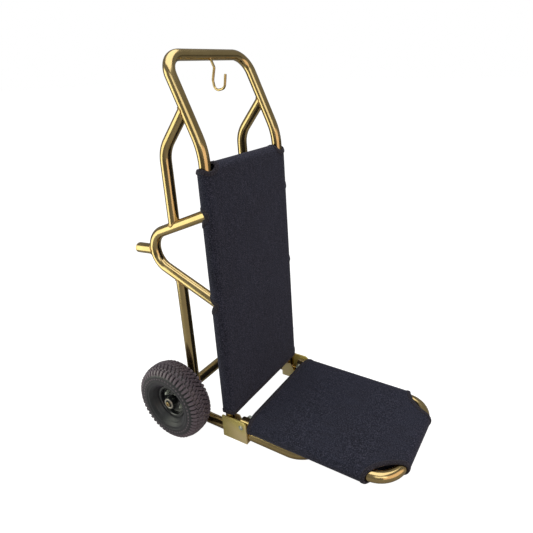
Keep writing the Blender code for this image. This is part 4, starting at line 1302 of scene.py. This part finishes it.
def add_wheel(side, word, rubber, paint, zinc, pale_steel, black):
    body = f"{word}_wheel"
    place = IN_CART @ Matrix.Translation((side * WHEEL_X, AXLE_Y, WHEEL_R)) @ facing(side)
    stand_in(f"{word}_tyre", tyre_mesh(place), rubber, body)
    for way, half in ((1, "outer"), (-1, "inner")):
        rim = turned_mesh(rim_profile(way), place, WHEEL_SIDES)
        stand_in(f"{word}_rim_{half}", rim, paint, body)
        bearing = turned_mesh(bearing_profile(way), place, BEARING_SIDES)
        stand_in(f"{word}_bearing_{half}", bearing, pale_steel, body)
        seal = turned_mesh(seal_profile(way), place, BEARING_SIDES)
        piece(f"{word}_seal_{half}", seal, black, body)
    for number in range(RIM_BOLTS):
        bm = bmesh.new()
        rim_bolt_bmesh(bm, number)
        stand_in(f"{word}_rim_bolt_{number + 1}", to_mesh(bm, place), zinc, body)
    valve = softened([(0, 0.0350), (0.0021, 0.0350), (0.0021, 0.0385), (0.0026, 0.0390), (0.0026, 0.0420),
                      (0.0030, 0.0425), (0.0030, 0.0512), (0, 0.0512)], 0.0004, 2, closed=False)
    upright = place @ Matrix.Translation((VALVE_OUT, 0, 0)) @ Matrix.Rotation(math.radians(-90), 4, "Y")
    stem = turned_mesh(valve, upright, 24, closed=False)
    stand_in(f"{word}_valve_stem", stem, black, body)


def add_axle(gold, black):
    """The axle with chamfered, centre-drilled ends, and on each side its spacer, washer and spring clip."""
    centre = IN_CART @ Matrix.Translation((0, AXLE_Y, WHEEL_R))
    end = AXLE_END
    tip = [(0, end - 0.0040), (0.0026, end - 0.0036), (0.0030, end), (AXLE_R - 0.0010, end),
           (AXLE_R, end - 0.0010)]
    drilled = [(r, -out) for r, out in tip] + [(AXLE_R, 0)] + tip[::-1]
    stand_in("axle", turned_mesh(drilled, centre, closed=False), gold)
    bore = AXLE_R + 0.0003
    face = WHEEL_X + BEARING_OUT + 0.0003
    clip_in = face + AXLE_WASHER_T + 0.0003
    spacer = ring_profile(bore, 0.012, CHEEK_IN + CHEEK_T, WHEEL_X - BEARING_OUT - 0.0003, 0.0008, 3)
    washer = ring_profile(bore, 0.0115, face, face + AXLE_WASHER_T, 0.0003, 3)
    for side, word in SIDES:
        place = centre @ facing(side)
        stand_in(f"axle_spacer_{word}", turned_mesh(spacer, place), gold)
        stand_in(f"axle_washer_{word}", turned_mesh(washer, place), black)
        stand_in(f"axle_clip_{word}", clip_mesh(clip_in, place), black)


def clip_mesh(start, matrix):
    """A spring clip: an open ring, widest opposite its gap, with an eye at each end."""
    around = arc((0, 0), 1.0, 22, 338, 40)
    inner = [(CLIP_R - 0.0028) * Vector(p) for p in around]
    outer = [(CLIP_R - 0.0009 + 0.0009 * -p[0]) * Vector(p) for p in around]
    bm = bmesh.new()
    sections = []
    for low, high in zip(inner, outer):
        corners = ((low, 0.0), (high, 0.0), (high, CLIP_T), (low, CLIP_T))
        sections.append([bm.verts.new((start + out, p.y, p.x)) for p, out in corners])
    for low, high in zip(sections, sections[1:]):
        bridge(bm, low, high)
    bm.faces.new(sections[0])
    bm.faces.new(sections[-1])
    for p in (around[0], around[-1]):
        eye = [(0.0012, start), (0.0026, start), (0.0026, start + CLIP_T), (0.0012, start + CLIP_T)]
        before = set(bm.verts)
        turned_bmesh(bm, eye, 20)
        shift = Vector((0, p[1], p[0])) * (CLIP_R - 0.0014)
        bmesh.ops.translate(bm, verts=[v for v in bm.verts if v not in before], vec=shift)
    return to_mesh(bm, matrix)


# ---------------------------------------------------------------- carried-over nodes

def repaint(materials):
    """Procedural finishes for the CAD nodes that stay as they are."""
    for name, node in frame["nodes"].items():
        for prefix, mat in materials.items():
            if name.startswith(prefix):
                for slot in node.material_slots:
                    slot.material = mat


# ---------------------------------------------------------------- stage, light and camera

def add_stage():
    """A floor that reaches past the horizon of every view."""
    bm = bmesh.new()
    reach = 30.0
    corners = ((-1, -1, 0), (1, -1, 0), (1, 1, 0), (-1, 1, 0))
    bm.faces.new([bm.verts.new(reach * Vector(corner)) for corner in corners])
    mesh = bpy.data.meshes.new("floor")
    bm.to_mesh(mesh)
    bm.free()
    floor = bpy.data.objects.new("floor", mesh)
    bpy.context.scene.collection.objects.link(floor)
    mesh.materials.append(pale_floor())


def add_area_light(name, location, target, size, radiance, colour):
    """A soft box; its radiance is the brightness that it shows, 1 being white."""
    data = bpy.data.lights.new(name, "AREA")
    data.shape = "RECTANGLE"
    data.size = size[0]
    data.size_y = size[1]
    data.energy = radiance * math.pi * size[0] * size[1]
    data.color = colour
    obj = bpy.data.objects.new(name, data)
    obj.location = location
    obj.rotation_euler = (Vector(target) - Vector(location)).to_track_quat("-Z", "Y").to_euler()
    bpy.context.scene.collection.objects.link(obj)


def add_lights():
    """Two upright boxes that the tubes mirror as stripes, a soft front and top light, and a dim surround."""
    add_area_light("strip_left", (-0.95, 1.10, 0.80), (0, 0.1, 0.75), (0.80, 1.6), 2.4, (0.97, 1.0, 0.84))
    add_area_light("strip_right", (-0.60, -1.90, 0.80), (0, 0, 0.70), (2.2, 1.6), 1.35, (1.0, 0.76, 0.64))
    add_area_light("front", (-2.6, -1.9, 2.4), (0, 0, 0.5), (2.2, 1.6), 1.7, (1.0, 1.0, 0.96))
    add_area_light("top", (0.0, 0.0, 3.2), (0, 0, 0), (3.0, 3.0), 2.0, (1.0, 1.0, 1.0))
    world = bpy.data.worlds.new("studio")
    bpy.context.scene.world = world
    world.use_nodes = True
    background = world.node_tree.nodes["Background"]
    background.inputs["Color"].default_value = (1.0, 1.0, 1.0, 1.0)
    world.node_tree.links.new(seen_directly(world.node_tree, 0.26, 1.0), background.inputs["Strength"])
    bpy.context.scene.view_settings.view_transform = "Standard"


def add_camera():
    """The camera stands to the cart's right and ahead, and looks slightly down at it."""
    yaw = 0.49752
    pitch = -0.30276
    roll = -0.02645
    focal = 467.784
    centre = (328.868, 208.919)
    image = 533
    forward = Vector((math.cos(yaw) * math.cos(pitch), math.sin(yaw) * math.cos(pitch), math.sin(pitch)))
    level = forward.cross(Vector((0, 0, 1))).normalized()
    rise = level.cross(forward)
    right = level * math.cos(roll) + rise * math.sin(roll)
    up = rise * math.cos(roll) - level * math.sin(roll)
    data = bpy.data.cameras.new("camera")
    data.sensor_width = 36.0
    data.lens = focal / image * data.sensor_width
    data.shift_x = (image / 2 - centre[0]) / image
    data.shift_y = (centre[1] - image / 2) / image
    camera = bpy.data.objects.new("camera", data)
    axes = Matrix((right, up, -forward)).transposed().to_4x4()
    camera.matrix_world = IN_CART @ Matrix.Translation((-1.15497, -0.924023, 1.19244)) @ axes
    bpy.context.scene.collection.objects.link(camera)
    bpy.context.scene.camera = camera


# ---------------------------------------------------------------- assembly

def build():
    gold = brushed_gold("brushed_gold", "tube_space")
    solid_gold = brushed_gold("turned_gold", None)
    weld = weld_gold()
    plate = plate_gold()
    back_cloth = ribbed_carpet("carpet_back", (0.0105, 0.0135, 0.0250), (0.072, 0.074, 0.112), "Z")
    deck_cloth = ribbed_carpet("carpet_deck", (0.0092, 0.0118, 0.0225), (0.066, 0.067, 0.102), "Y")
    hem_cloth = ribbed_carpet("carpet_hem", (0.015, 0.014, 0.020), (0.058, 0.054, 0.070), "Z")
    cord = thread()
    zinc = zinc_steel("zinc_steel", (0.48, 0.52, 0.46), (0.74, 0.77, 0.68))
    pale_steel = zinc_steel("bearing_steel", (0.58, 0.54, 0.46), (0.80, 0.76, 0.66))
    paint = gloss_black()
    black = dark_rubber("black_rubber", 0.018)
    wood = plywood()
    rubber = tyre_rubber((0.0, LEG_PLANE_Y + AXLE_Y, WHEEL_R))

    add_frame_tubes(gold)
    deck_tube = tube_mesh(deck_path(), TUBE_R, ON_DECK, TUBE_WALL)
    stand_in("platform_frame", deck_tube, gold, "platform")
    add_axle(solid_gold, dark_rubber("black_steel", 0.02))
    add_welds(weld)
    add_axle_welds(weld)
    for side, word in SIDES:
        add_hinge(plate, zinc, weld, side, word)
        add_wheel(side, word, rubber, paint, zinc, pale_steel, black)
    add_cover("back_cover_cloth", "back_cover", "frame", IN_CART, back_place,
              (BACK_COVER_LOW - TURNED_IN, BACK_COVER_TOP), back_outline(), loop_slits(), 3.1,
              (back_cloth, hem_cloth, cord))
    add_cover("platform_cover_cloth", "platform_cover", "platform", ON_DECK, deck_underside,
              (DECK_COVER_REAR - TURNED_IN, DECK_REACH + COVER_HALF), deck_outline(), [], 8.4,
              (deck_cloth, hem_cloth, cord))
    repaint({"back_board": wood, "deck_board": wood, "back_cross_bar": solid_gold,
             "platform_cross_bar": solid_gold, "hinge_nut": zinc, "hinge_washer": zinc,
             "left_inner_tube": black, "right_inner_tube": black})
    add_stage()
    add_lights()
    add_camera()


build()
bpy.context.view_layer.update()
